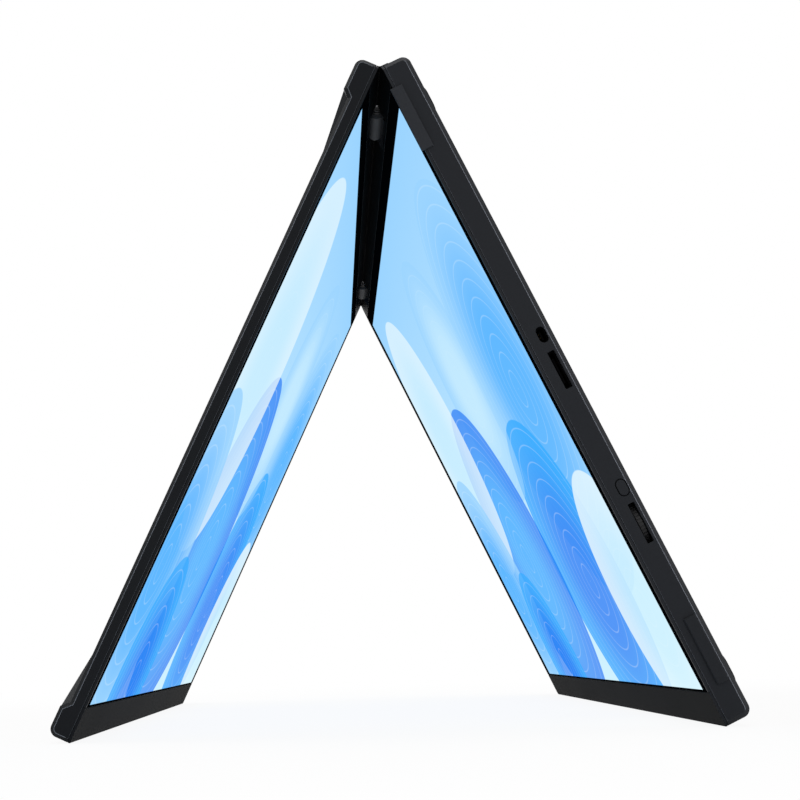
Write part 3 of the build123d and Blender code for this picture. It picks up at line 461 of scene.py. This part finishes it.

# %% [markdown]
# ## The two shells
# The thick main panel has a satin dark grey shell, very slightly blue, and the slim lid is a shade
# darker. Both take the same satin finish with their own colours, because one recipe keeps them related.
# The painted highlight line shows on the rim of the back, more faintly at the seam of the front, and not
# round the openings between them, so a mask by depth through the panel says where it may show.

# %% Shells
MAIN_GREY = (0.0240, 0.0258, 0.0300)
LID_GREY = (0.0132, 0.0145, 0.0168)
SEAM_DEPTH = 0.5
SEAM_SHARE = 0.35
MASK_EDGE = 0.1


def rim_and_seam(axes, cover, rim):
    """Function that makes the mask where a painted highlight shows: a shell's rim, from its depth on,
    and more faintly its seam.
    """
    seam = span(cover, axes)[0].z + SEAM_DEPTH * MM

    def mask(tree):
        back = axes.to_3x3().col[2]
        at_seam = ramp(tree, back, seam, seam - MASK_EDGE * MM, SEAM_SHARE)
        at_rim = ramp(tree, back, rim - 2 * MASK_EDGE * MM, rim)
        return worked(tree, "ADD", at_seam, at_rim)

    return mask


button_top = span("power_button", main_axes)[1].z
# Both shells get a strong painted highlight line along the rim of the back, and a fainter one at the
# seam.
main_shell = satin(
    "main_shell_grey", MAIN_GREY, roughness=0.42, specular=0.04, edge_radius=0.3, wear_and_glint=1.2, highlight_gain=18.0,
    highlight_at=rim_and_seam(main_axes, "main_rear_cover", button_top),
)
lid_rim = span("lid_rear_cover", lid_axes)[0].z + 2 * SEAM_DEPTH * MM
lid_shell = satin(
    "lid_shell_grey", LID_GREY, roughness=0.40, specular=0.04, edge_radius=0.3, wear_and_glint=1.2, highlight_gain=26.0,
    highlight_at=rim_and_seam(lid_axes, "lid_rear_cover", lid_rim),
)
dress(main_shell, "main_rear_cover")
dress(lid_shell, "lid_rear_cover")
print("shell finishes:", main_shell.name, lid_shell.name)

# %% [markdown]
# ## Front frames and chin strips
# The frame round each screen is black in front, but its narrow side is painted like the shell behind it,
# so only a fine seam shows there, and so is the short lip beside the chin strip. One finish does all:
# a mask finds the faces that look along the hinge and what lies beside the chin, and gives them the
# shell's grey. The chin strip along the outer end is a dull dark grey.

# %% Frames and chins
BLACK = (0.0018, 0.0018, 0.0020)
CHIN_GREY = (0.0055, 0.0051, 0.0047)


def frame_grey(panel, axes):
    """Function that makes the mask of where a panel's front frame is grey."""
    chin_start = span(f"{panel}_chin_strip", axes)[0].x
    soft = MASK_EDGE / 2 * MM

    def mask(tree):
        down = axes.to_3x3().col[0]
        beside_chin = ramp(tree, down, chin_start - soft, chin_start + soft)
        return worked(tree, "MAXIMUM", narrow_sides(tree), beside_chin)

    return mask


# The frames get a faint painted highlight line along their narrow sides.
for panel, axes, grey in (("main", main_axes, MAIN_GREY), ("lid", lid_axes, LID_GREY)):
    finish = satin(
        f"{panel}_frame_black", BLACK, roughness=0.50, specular=0.05, edge_radius=0.15, wear_and_glint=1.6,
        highlight_gain=2.0, mask=frame_grey(panel, axes), second=grey,
    )
    dress(finish, f"{panel}_front_frame")
    finish = satin(
        f"{panel}_chin_grey", CHIN_GREY, roughness=0.75, specular=0.03, grain=2200.0, edge_radius=0.15,
        mask=narrow_sides, second=grey,
    )
    dress(finish, f"{panel}_chin_strip")
print("frame and chin finishes made")

# %% [markdown]
# ## Rubber, and the button and wheel
# Bumpers and feet are moulded rubber: duller than the shell, with a coarser tooth and almost no gloss.
# The button is moulded in the shell's grey, and the wheel in a darker one.

# %% Rubber and controls
# The front bumpers' edges are painted paler still, as a painted highlight.
front_rubber = satin(
    "front_bumper_rubber", (0.0365, 0.0390, 0.0450), roughness=0.70, specular=0.05,
    grain=1600.0, depth=0.15, wear_and_glint=2.2,
)
dress(front_rubber, "front_bumpers")
rear_rubber = satin(
    "rear_bumper_rubber", (0.0245, 0.0262, 0.0300), roughness=0.70, specular=0.05,
    grain=1600.0, depth=0.15,
)
dress(rear_rubber, "rear_bumpers")
foot_rubber = satin(
    "foot_rubber", (0.0060, 0.0060, 0.0065), roughness=0.80, specular=0.10, grain=1300.0, depth=0.2
)
dress(foot_rubber, "rear_feet")
seal_rubber = satin(
    "seal_rubber", (0.0012, 0.0012, 0.0012), roughness=0.85, specular=0.02, grain=2500.0
)
dress(seal_rubber, "hinge_seal")
button_grey = satin(
    "button_grey", MAIN_GREY, roughness=0.45, specular=0.05, edge_radius=0.15, wear_and_glint=1.6
)
dress(button_grey, "power_button")
# The wheel's ridges have their edges painted much paler, as a painted highlight.
wheel_black = satin(
    "wheel_black", (0.0090, 0.0092, 0.0100), roughness=0.5, specular=0.25, edge_radius=0.1, wear_and_glint=3.0
)
dress(wheel_black, "scroll_wheel")
print("rubber and control finishes made")

# %% [markdown]
# ## Hinges
# The two barrels between the panels are painted satin grey. The leaves are black, and so are the arms
# that carry the barrels: a mask by distance from the hinge line keeps the grey on the round part.

# %% Hinge paint
BARREL_RADIUS = 3.1
PAINT_EDGE = (0.02, 0.08)
ACROSS_HINGE = (1, 0, 1)
ARM_BLACK = (0.0030, 0.0030, 0.0032)


def clear_of_barrel(tree):
    """Mask of what lies outside the round barrel, which is the arm that holds it."""
    inputs = {0: from_hinge(tree), 1: ACROSS_HINGE}
    across = node(tree, "ShaderNodeVectorMath", inputs, operation="MULTIPLY").outputs["Vector"]
    away = measured(tree, "LENGTH", across)
    return ranged(tree, away, *[(BARREL_RADIUS + beyond) * MM for beyond in PAINT_EDGE])


barrel_grey = satin(
    "barrel_grey", (0.0180, 0.0183, 0.0190), roughness=0.6, specular=0.15, wear_and_glint=1.3,
    mask=clear_of_barrel, second=ARM_BLACK,
)
dress(barrel_grey, "hinge_barrel_near", "hinge_barrel_far")
leaf_black = satin("leaf_black", ARM_BLACK, roughness=0.5, specular=0.1, edge_radius=0.15)
dress(leaf_black, "lid_hinge_leaf_near", "lid_hinge_leaf_far")
print("hinge finishes:", barrel_grey.name, leaf_black.name)

# %% [markdown]
# ## Bare metal
# Hinge pins are ground steel, and screws, inserts and sockets are drawn or turned. Such metal shows fine
# lines along one direction, so its grain is stretched along the hinge. The lines vary colour and gloss
# and stand up a little, because a metal is seen almost only by what it reflects.

# %% Metals
LINES_PER_METRE = 9000.0
LINE_STRETCH = (1.0, 0.05, 1.0)
LINE_HEIGHT = 0.02
LINE_DEPTH = 0.1
DARK_SHARE = 0.8
GLOSSIER, DULLER = 0.08, 0.12


def drawn_metal(name, colour, roughness):
    """Bare metal with fine lines along the hinge, in colour, gloss and bump."""
    finish, tree, shader = principled(name, Metallic=1.0)
    inputs = {"Vector": own_place(tree), "Scale": LINE_STRETCH}
    stretched = node(tree, "ShaderNodeMapping", inputs).outputs["Vector"]
    lines = noise(tree, stretched, LINES_PER_METRE, 3.0)
    dark = [DARK_SHARE * value for value in colour]
    shade = mix_colours(tree, lines, (*dark, 1), (*colour, 1))
    dull = ranged(tree, lines, 0.0, 1.0, roughness - GLOSSIER, roughness + DULLER)
    inputs = {"Strength": LINE_DEPTH, "Distance": LINE_HEIGHT * MM, "Height": lines}
    bump = node(tree, "ShaderNodeBump", inputs)
    tree.links.new(shade, shader.inputs["Base Color"])
    tree.links.new(dull, shader.inputs["Roughness"])
    tree.links.new(bump.outputs["Normal"], shader.inputs["Normal"])
    return finish


pin_steel = drawn_metal("pin_steel", (0.32, 0.32, 0.33), roughness=0.35)
dress(pin_steel, "hinge_pin_near", "hinge_pin_far", "friction_washers")
screw_black = drawn_metal("screw_black", (0.045, 0.045, 0.05), roughness=0.42)
dress(screw_black, "main_hinge_screws", "lid_hinge_screws", "main_cover_screws")
insert_brass = drawn_metal("insert_brass", (0.62, 0.42, 0.16), roughness=0.33)
dress(insert_brass, "plate_inserts")
socket_black = drawn_metal("socket_black", (0.004, 0.004, 0.0045), roughness=0.6)
dress(socket_black, "power_socket", "video_socket")
print("metals made")

# %% [markdown]
# ## What sits inside
# Boards, speakers, display stacks and flat cables hardly show, but the ports, the wheel slot and the
# speaker slots let a little of them be seen. They get the same satin recipe in their own colours.

# %% Inner pieces
board_green = satin("board_green", (0.008, 0.055, 0.026), roughness=0.4, specular=0.4, grain=900.0)
dress(board_green, "control_board", "lid_driver_board")
inner_black = satin("inner_black", (0.0035, 0.0035, 0.0035), roughness=0.65, specular=0.2)
dress(inner_black, "button_switch", "wheel_encoder", "speaker_near", "speaker_far")
tray_grey = satin("tray_grey", (0.10, 0.105, 0.11), roughness=0.45, specular=0.4, grain=1200.0)
dress(tray_grey, "main_lcd_module", "lid_lcd_module")
cable_amber = satin("cable_amber", (0.21, 0.055, 0.006), roughness=0.4, specular=0.5, grain=1500.0)
dress(cable_amber, "main_display_cable", "lid_display_cable")
print("inner finishes made")

# %% [markdown]
# ## The picture on both screens
# Each screen is lit and shows a calm desktop picture in sky blues. Here it is a plain design of large
# see-through discs and fine rings. An image file could do this, but discs are only distances from a few
# centres, so nodes draw them sharply at any size. Both screens use one group in their own axes.

# %% Group for the desktop picture
SKY = (0.33, 0.66, 1.0, 1)
PALE = (0.64, 0.89, 1.0, 1)
MID = (0.040, 0.42, 1.0, 1)
DEEP = (0.008, 0.22, 0.92, 1)
MIST = (0.80, 0.95, 1.0, 1)
# Centre across and up from the middle of the screen, radius, all in mm, then inner and rim colour
# and how solid the disc is
DISCS = (
    ((128, 8), 74, MID, SKY, 0.80),
    ((78, -58), 62, DEEP, MID, 0.86),
    ((150, -70), 46, PALE, MIST, 0.80),
    ((20, 30), 52, PALE, SKY, 0.55),
    ((-46, -42), 70, MID, DEEP, 0.82),
    ((-120, 20), 66, PALE, MIST, 0.70),
    ((-150, -52), 58, MID, SKY, 0.85),
    ((-92, -90), 44, DEEP, MID, 0.80),
)
CORE_SHARE = 0.25
RIM_SOFTNESS = 0.4
RING_PITCH = 6.5
RING_CREST = 0.93
RING_SHARE = 0.22

desktop_picture, start, end = shader_group(
    "desktop_picture",
    [("Place", "NodeSocketVector", None), ("Height", "NodeSocketFloat", 0.2)],
    [("Color", "NodeSocketColor")],
)
tree, place = desktop_picture, start.outputs["Place"]
up = node(tree, "ShaderNodeSeparateXYZ", {"Vector": place}).outputs["Y"]
rise = worked(tree, "ADD", worked(tree, "DIVIDE", up, start.outputs["Height"]), 0.5)
picture = mix_colours(tree, rise, PALE, SKY)
for (across, above), radius, inner, rim, solid in DISCS:
    away = measured(tree, "DISTANCE", place, (across * MM, above * MM, 0))
    inside = ranged(tree, away, radius * MM, (radius - RIM_SOFTNESS) * MM, high=solid)
    outward = ranged(
        tree, away, CORE_SHARE * radius * MM, radius * MM, interpolation_type="SMOOTHSTEP"
    )
    disc = mix_colours(tree, outward, inner, rim)
    turns = worked(tree, "MULTIPLY", away, math.tau / (RING_PITCH * MM))
    ring = ranged(tree, worked(tree, "COSINE", turns), RING_CREST, 1.0, high=RING_SHARE)
    disc = mix_colours(tree, ring, disc, MIST)
    picture = mix_colours(tree, inside, picture, disc)
tree.links.new(picture, end.inputs["Color"])
print("desktop picture:", len(DISCS), "discs,", len(tree.nodes), "nodes")

# %% [markdown]
# ## Lit glass
# A screen is a cover glass with a black printed border and light coming through the middle. Both could
# be pieces of their own, but one material on the glass does it: inside the lit rectangle it gives off
# the picture, and outside it is black. The lit rectangle is set in from the edges of the glass by the
# widths of the printed border.

# %% Lit screens
HINGE_MARGIN = 5.85
CHIN_MARGIN = 0.6
NEAR_MARGIN = 4.6
FAR_MARGIN = 7.6
UNLIT = (0.0, 0.0, 0.0, 1)
GLASS_BLACKS = ((0.0012, 0.0012, 0.0014, 1), (0.002, 0.002, 0.0023, 1))
SMEARS_PER_METRE = 60.0


def within(tree, value, half):
    """Mask that is 1 where the value lies within half of zero, with a soft edge."""
    return ranged(tree, worked(tree, "ABSOLUTE", value), half, half - MASK_EDGE * MM)


def lit_screen(name, glass, axes):
    """Black glass that shows the desktop picture inside its lit rectangle."""
    low, high = span(glass, axes)
    top = low.x + HINGE_MARGIN * MM
    bottom = high.x - CHIN_MARGIN * MM
    half_width = (high.y - low.y - (NEAR_MARGIN + FAR_MARGIN) * MM) / 2
    height = bottom - top
    off_centre = Vector((0, (NEAR_MARGIN - FAR_MARGIN) / 2 * MM, 0))
    middle = axes @ Vector(((top + bottom) / 2, 0, low.z)) + off_centre
    down, along, back = axes.to_3x3().transposed()
    upright = Matrix((-along, -down, -back)).transposed()
    finish, tree, shader = principled(
        name, Roughness=0.35, Specular_Ior_Level=0.0, Emission_Strength=1.0
    )
    place = own_place(tree)
    inputs = {"Vector": place, "Location": middle, "Rotation": upright.to_euler()}
    on_screen = node(tree, "ShaderNodeMapping", inputs, vector_type="TEXTURE").outputs["Vector"]
    parts = node(tree, "ShaderNodeSeparateXYZ", {"Vector": on_screen}).outputs
    flat = node(tree, "ShaderNodeCombineXYZ", {"X": parts["X"], "Y": parts["Y"]}).outputs[0]
    inputs = {"Place": flat, "Height": height}
    shown = node(tree, "ShaderNodeGroup", inputs, node_tree=desktop_picture).outputs["Color"]
    in_width = within(tree, parts["X"], half_width)
    in_height = within(tree, parts["Y"], height / 2)
    lit = worked(tree, "MULTIPLY", in_width, in_height)
    smears = noise(tree, place, SMEARS_PER_METRE, 2.0)
    tree.links.new(mix_colours(tree, lit, UNLIT, shown), shader.inputs["Emission Color"])
    tree.links.new(mix_colours(tree, smears, *GLASS_BLACKS), shader.inputs["Base Color"])
    dress(finish, glass)
    print(name, "lit area", round(2 * half_width / MM, 1), "by", round(height / MM, 1), "mm")


lit_screen("main_screen", "main_screen_glass", main_axes)
lit_screen("lid_screen", "lid_screen_glass", lid_axes)

# %% [markdown]
# ## Growing small pieces with Geometry Nodes
# Screws, threads, contacts and the wires of a speaker net are one shape set out many times. They could
# be copied in a loop, but a Geometry Nodes tree keeps the shape, its sizes and the way it is set out in
# one place. Each tree below takes points in a panel's own axes, and the result becomes a plain mesh.


# %% Helpers for growing
def growth_tree(name, inputs):
    """Starts a Geometry Nodes tree with named inputs, and returns it with its two end nodes."""
    tree = bpy.data.node_groups.new(name, "GeometryNodeTree")
    sockets = [("Geometry", "NodeSocketGeometry"), *inputs, ("Finish", "NodeSocketMaterial")]
    for label, kind in sockets:
        tree.interface.new_socket(label, in_out="INPUT", socket_type=kind)
    tree.interface.new_socket("Geometry", in_out="OUTPUT", socket_type="NodeSocketGeometry")
    return tree, tree.nodes.new("NodeGroupInput"), tree.nodes.new("NodeGroupOutput")


def set_out(tree, points, piece, **inputs):
    """Output of a piece set on every point."""
    inputs = {"Points": points, "Instance": piece, **inputs}
    return node(tree, "GeometryNodeInstanceOnPoints", inputs).outputs[0]


def close_tree(tree, start, end, instances):
    """Ends a tree: its instances become real faces and take the finish."""
    real = node(tree, "GeometryNodeRealizeInstances", {"Geometry": instances}).outputs[0]
    inputs = {"Geometry": real, "Material": start.outputs["Finish"]}
    painted = node(tree, "GeometryNodeSetMaterial", inputs).outputs[0]
    tree.links.new(painted, end.inputs["Geometry"])


def grow(name, tree, places, finish, slot, **sizes):
    """Runs a tree on points in the main panel's axes, in mm, and keeps the result as a plain mesh."""
    seeds = bpy.data.meshes.new(name + "_places")
    seeds.from_pydata([Vector(place) * MM for place in places], [], [])
    piece = bpy.data.objects.new(name, seeds)
    scene.collection.objects.link(piece)
    growth = piece.modifiers.new("growth", "NODES")
    growth.node_group = tree
    values = {label.replace("_", " "): value for label, value in sizes.items()}
    values["Finish"] = finish
    for socket in tree.interface.items_tree:
        if socket.in_out == "INPUT" and socket.name in values:
            growth[socket.identifier] = values[socket.name]
    evaluated = piece.evaluated_get(bpy.context.evaluated_depsgraph_get())
    grown = bpy.data.meshes.new_from_object(evaluated)
    piece.modifiers.remove(growth)
    piece.data = grown
    bpy.data.meshes.remove(seeds)
    grown.name = name
    grown.transform(main_axes)
    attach(piece, "main_panel")
    print(name, "has", len(grown.polygons), "faces")
    return piece


print("growing helpers ready")


# %% Helpers for shapes
def sized(tree, x, y, z):
    """Output of a vector put together from three values."""
    return node(tree, "ShaderNodeCombineXYZ", {"X": x, "Y": y, "Z": z}).outputs[0]


def moved(tree, geometry, x=0.0, y=0.0, z=0.0):
    """Output of a geometry moved by three distances."""
    inputs = {"Geometry": geometry, "Translation": sized(tree, x, y, z)}
    return node(tree, "GeometryNodeTransform", inputs).outputs[0]


def block(tree, x, y, z):
    """Output of a block with three side lengths."""
    return node(tree, "GeometryNodeMeshCube", {"Size": sized(tree, x, y, z)}).outputs["Mesh"]


print("shape helpers ready")

# %% [markdown]
# ## Cover screws
# Six flat-head screws hold the rear cover, with a cross cut for the driver. One screw is a cone on a
# shank, with the cross taken out by a boolean. The exact solver is needed, because the quick one tears
# shapes of a few mm. Nobody tightens six screws to the same angle, so each one is turned at random about
# its own axis, from a fixed seed.

# %% Tree for countersunk screws
CIRCLE_STEPS = 48

screw_tree, start, end = growth_tree(
    "countersunk_screws",
    [
        ("Head radius", "NodeSocketFloat"),
        ("Shank radius", "NodeSocketFloat"),
        ("Head depth", "NodeSocketFloat"),
        ("Reach", "NodeSocketFloat"),
        ("Cross length", "NodeSocketFloat"),
        ("Cross width", "NodeSocketFloat"),
        ("Cross depth", "NodeSocketFloat"),
        ("Turn seed", "NodeSocketInt"),
    ],
)
tree, take = screw_tree, start.outputs
head = node(
    tree,
    "GeometryNodeMeshCone",
    {
        "Vertices": CIRCLE_STEPS,
        "Radius Top": take["Head radius"],
        "Radius Bottom": take["Shank radius"],
        "Depth": take["Head depth"],
    },
).outputs["Mesh"]
shank = node(
    tree,
    "GeometryNodeMeshCylinder",
    {"Vertices": CIRCLE_STEPS, "Radius": take["Shank radius"], "Depth": take["Reach"]},
).outputs["Mesh"]
sunk = moved(tree, head, z=worked(tree, "MULTIPLY", take["Head depth"], -1.0))
length = worked(tree, "ADD", take["Reach"], take["Head depth"])
hung = moved(tree, shank, z=worked(tree, "MULTIPLY", length, -0.5))
solid = node(tree, "GeometryNodeMeshBoolean", operation="UNION", solver="EXACT")
for part in (sunk, hung):
    tree.links.new(part, solid.inputs["Mesh 2"])
cut = node(
    tree,
    "GeometryNodeMeshBoolean",
    {"Mesh 1": solid.outputs["Mesh"]},
    operation="DIFFERENCE",
    solver="EXACT",
)
twice = worked(tree, "MULTIPLY", take["Cross depth"], 2.0)
for across, along in (("Cross length", "Cross width"), ("Cross width", "Cross length")):
    tree.links.new(block(tree, take[across], take[along], twice), cut.inputs["Mesh 2"])
inputs = {3: math.tau, "Seed": take["Turn seed"]}
turn = node(tree, "FunctionNodeRandomValue", inputs, data_type="FLOAT").outputs[1]
about = node(tree, "FunctionNodeEulerToRotation", {"Euler": sized(tree, 0.0, 0.0, turn)}).outputs[0]
turned = set_out(tree, take["Geometry"], cut.outputs["Mesh"], Rotation=about)
close_tree(tree, start, end, turned)
print("screw tree:", len(tree.nodes), "nodes")

# %% Six cover screws
HEAD_RADIUS = 2.1
HEAD_DEPTH = 1.1
SHANK_RADIUS = 1.0
CROSS_LENGTH = 2.3
CROSS_WIDTH = 0.55
CROSS_DEPTH = 0.7
TURN_SEED = 11

low, high = [corner / MM for corner in span("main_cover_screws", main_axes)]
screw_places = [
    (down, along, high.z)
    for down in (low.x + HEAD_RADIUS, high.x - HEAD_RADIUS)
    for along in (low.y + HEAD_RADIUS, 0.0, high.y - HEAD_RADIUS)
]
cover_screws = grow(
    "cover_screws",
    screw_tree,
    screw_places,
    screw_black,
    "screw_steel",
    Head_radius=HEAD_RADIUS * MM,
    Shank_radius=SHANK_RADIUS * MM,
    Head_depth=HEAD_DEPTH * MM,
    Reach=(high.z - low.z - HEAD_DEPTH) * MM,
    Cross_length=CROSS_LENGTH * MM,
    Cross_width=CROSS_WIDTH * MM,
    Cross_depth=CROSS_DEPTH * MM,
    Turn_seed=TURN_SEED,
)
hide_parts("main_cover_screws")

# %% [markdown]
# ## Threads of the four inserts
# A brass insert is a tube with a fine thread inside. The solid model has the plain tube, so the thread
# is added as a ridge that climbs round the bore. A screw modifier could turn it, but a spiral curve with
# a four-sided profile swept along it gives the pitch and the number of turns directly.

# %% Tree for threads
SPIRAL_STEPS = 36
RIDGE_SIDES = 4

thread_tree, start, end = growth_tree(
    "insert_threads",
    [
        ("Bore", "NodeSocketFloat"),
        ("Ridge", "NodeSocketFloat"),
        ("Turns", "NodeSocketFloat"),
        ("Height", "NodeSocketFloat"),
    ],
)
tree, take = thread_tree, start.outputs
spiral = node(
    tree,
    "GeometryNodeCurveSpiral",
    {
        "Resolution": SPIRAL_STEPS,
        "Rotations": take["Turns"],
        "Start Radius": take["Bore"],
        "End Radius": take["Bore"],
        "Height": take["Height"],
    },
).outputs[0]
inputs = {"Resolution": RIDGE_SIDES, "Radius": take["Ridge"]}
ridge = node(tree, "GeometryNodeCurvePrimitiveCircle", inputs).outputs[0]
inputs = {"Curve": spiral, "Profile Curve": ridge, "Fill Caps": True}
swept = node(tree, "GeometryNodeCurveToMesh", inputs).outputs[0]
close_tree(tree, start, end, set_out(tree, take["Geometry"], swept))
print("thread tree:", len(tree.nodes), "nodes")

# %% Threads in the four inserts
INSERT_RADIUS = 3.0
BORE_RADIUS = 2.05
THREAD_PITCH = 0.7
THREAD_RIDGE = 0.28

low, high = [corner / MM for corner in span("plate_inserts", main_axes)]
thread_height = high.z - low.z - 4 * THREAD_RIDGE
insert_places = [
    (down, along, low.z + 2 * THREAD_RIDGE)
    for down in (low.x + INSERT_RADIUS, high.x - INSERT_RADIUS)
    for along in (low.y + INSERT_RADIUS, high.y - INSERT_RADIUS)
]
grow(
    "insert_threads",
    thread_tree,
    insert_places,
    insert_brass,
    "insert_brass",
    Bore=BORE_RADIUS * MM,
    Ridge=THREAD_RIDGE * MM,
    Turns=thread_height / THREAD_PITCH,
    Height=thread_height * MM,
)

# %% [markdown]
# ## Contacts and speaker nets
# Both are rows of straight bars: flat gilded contacts on the tongue of each port, and the crossed fine
# wires of a net behind the speaker slots. One helper sets bars side by side, centred on a point.


# %% Helper for a row of bars
def row_of_bars(tree, axis, count, pitch, bar):
    """Output of bars set side by side along an axis, centred."""
    width = worked(tree, "MULTIPLY", worked(tree, "SUBTRACT", count, 1.0), pitch)
    first = worked(tree, "MULTIPLY", width, -0.5)
    inputs = {
        "Count": count,
        "Start Location": node(tree, "ShaderNodeCombineXYZ", {axis: first}).outputs[0],
        "Offset": node(tree, "ShaderNodeCombineXYZ", {axis: pitch}).outputs[0],
    }
    return set_out(tree, node(tree, "GeometryNodeMeshLine", inputs).outputs[0], bar)


print("bar helper ready")

# %% Tree for contacts
contact_tree, start, end = growth_tree(
    "port_contacts",
    [
        ("Count", "NodeSocketInt"),
        ("Pitch", "NodeSocketFloat"),
        ("Width", "NodeSocketFloat"),
        ("Length", "NodeSocketFloat"),
        ("Thickness", "NodeSocketFloat"),
    ],
)
tree, take = contact_tree, start.outputs
contact = block(tree, take["Width"], take["Length"], take["Thickness"])
row = row_of_bars(tree, "X", take["Count"], take["Pitch"], contact)
close_tree(tree, start, end, set_out(tree, take["Geometry"], row))
print("contact tree:", len(tree.nodes), "nodes")

# %% Contacts on both tongues
TONGUE_THICK = 0.5
CONTACT_LENGTH = 3.0
CONTACT_THICK = 0.06
# Name, middle of the contacts down the panel, along the hinge and out of the back, how many there are
# on each face, their pitch and their width, with all lengths in mm
TONGUES = (
    ("power_contacts", (94.9, -171.9, 5.60), 4, 0.5, 0.26),
    ("video_contacts", (106.4, -171.6, 5.45), 9, 0.8, 0.42),
)
contact_gold = drawn_metal("contact_gold", (0.30, 0.20, 0.07), roughness=0.4)
for name, (down, along, back), count, pitch, width in TONGUES:
    faces = [(down, along, back + side * TONGUE_THICK / 2) for side in (-1, 1)]
    grow(
        name,
        contact_tree,
        faces,
        contact_gold,
        "socket_steel",
        Count=count,
        Pitch=pitch * MM,
        Width=width * MM,
        Length=CONTACT_LENGTH * MM,
        Thickness=CONTACT_THICK * MM,
    )

# %% Tree for speaker nets
# How far each layer of wires lies off the middle of the net, as a share of the wire
LAYER_SHARE = 0.4

net_tree, start, end = growth_tree(
    "speaker_nets",
    [
        ("Wires down", "NodeSocketInt"),
        ("Wires along", "NodeSocketInt"),
        ("Pitch", "NodeSocketFloat"),
        ("Wire", "NodeSocketFloat"),
    ],
)
tree, take = net_tree, start.outputs
laid = node(tree, "GeometryNodeJoinGeometry")
for axis, count, crossed, share in (
    ("Y", "Wires along", "Wires down", LAYER_SHARE),
    ("X", "Wires down", "Wires along", -LAYER_SHARE),
):
    reach = worked(tree, "MULTIPLY", take[crossed], take["Pitch"])
    down, along = (reach, take["Wire"]) if axis == "Y" else (take["Wire"], reach)
    wire = block(tree, down, along, take["Wire"])
    row = row_of_bars(tree, axis, take[count], take["Pitch"], wire)
    layer = moved(tree, row, z=worked(tree, "MULTIPLY", take["Wire"], share))
    tree.links.new(layer, laid.inputs["Geometry"])
close_tree(tree, start, end, set_out(tree, take["Geometry"], laid.outputs[0]))
print("net tree:", len(tree.nodes), "nodes")

# %% Nets behind both speaker slots
NET_DEPTH = 0.35
NET_PITCH = 0.62
NET_WIRE = 0.2
WIRES_DOWN = 15
WIRES_ALONG = 46

net_steel = drawn_metal("net_steel", (0.06, 0.06, 0.065), roughness=0.45)
low, high = [corner / MM for corner in span("speaker_near", main_axes)]
speaker_places = [
    ((low.x + high.x) / 2, side * (low.y + high.y) / 2, high.z - NET_DEPTH) for side in (-1, 1)
]
grow(
    "speaker_nets",
    net_tree,
    speaker_places,
    net_steel,
    "inner_black",
    Wires_down=WIRES_DOWN,
    Wires_along=WIRES_ALONG,
    Pitch=NET_PITCH * MM,
    Wire=NET_WIRE * MM,
)
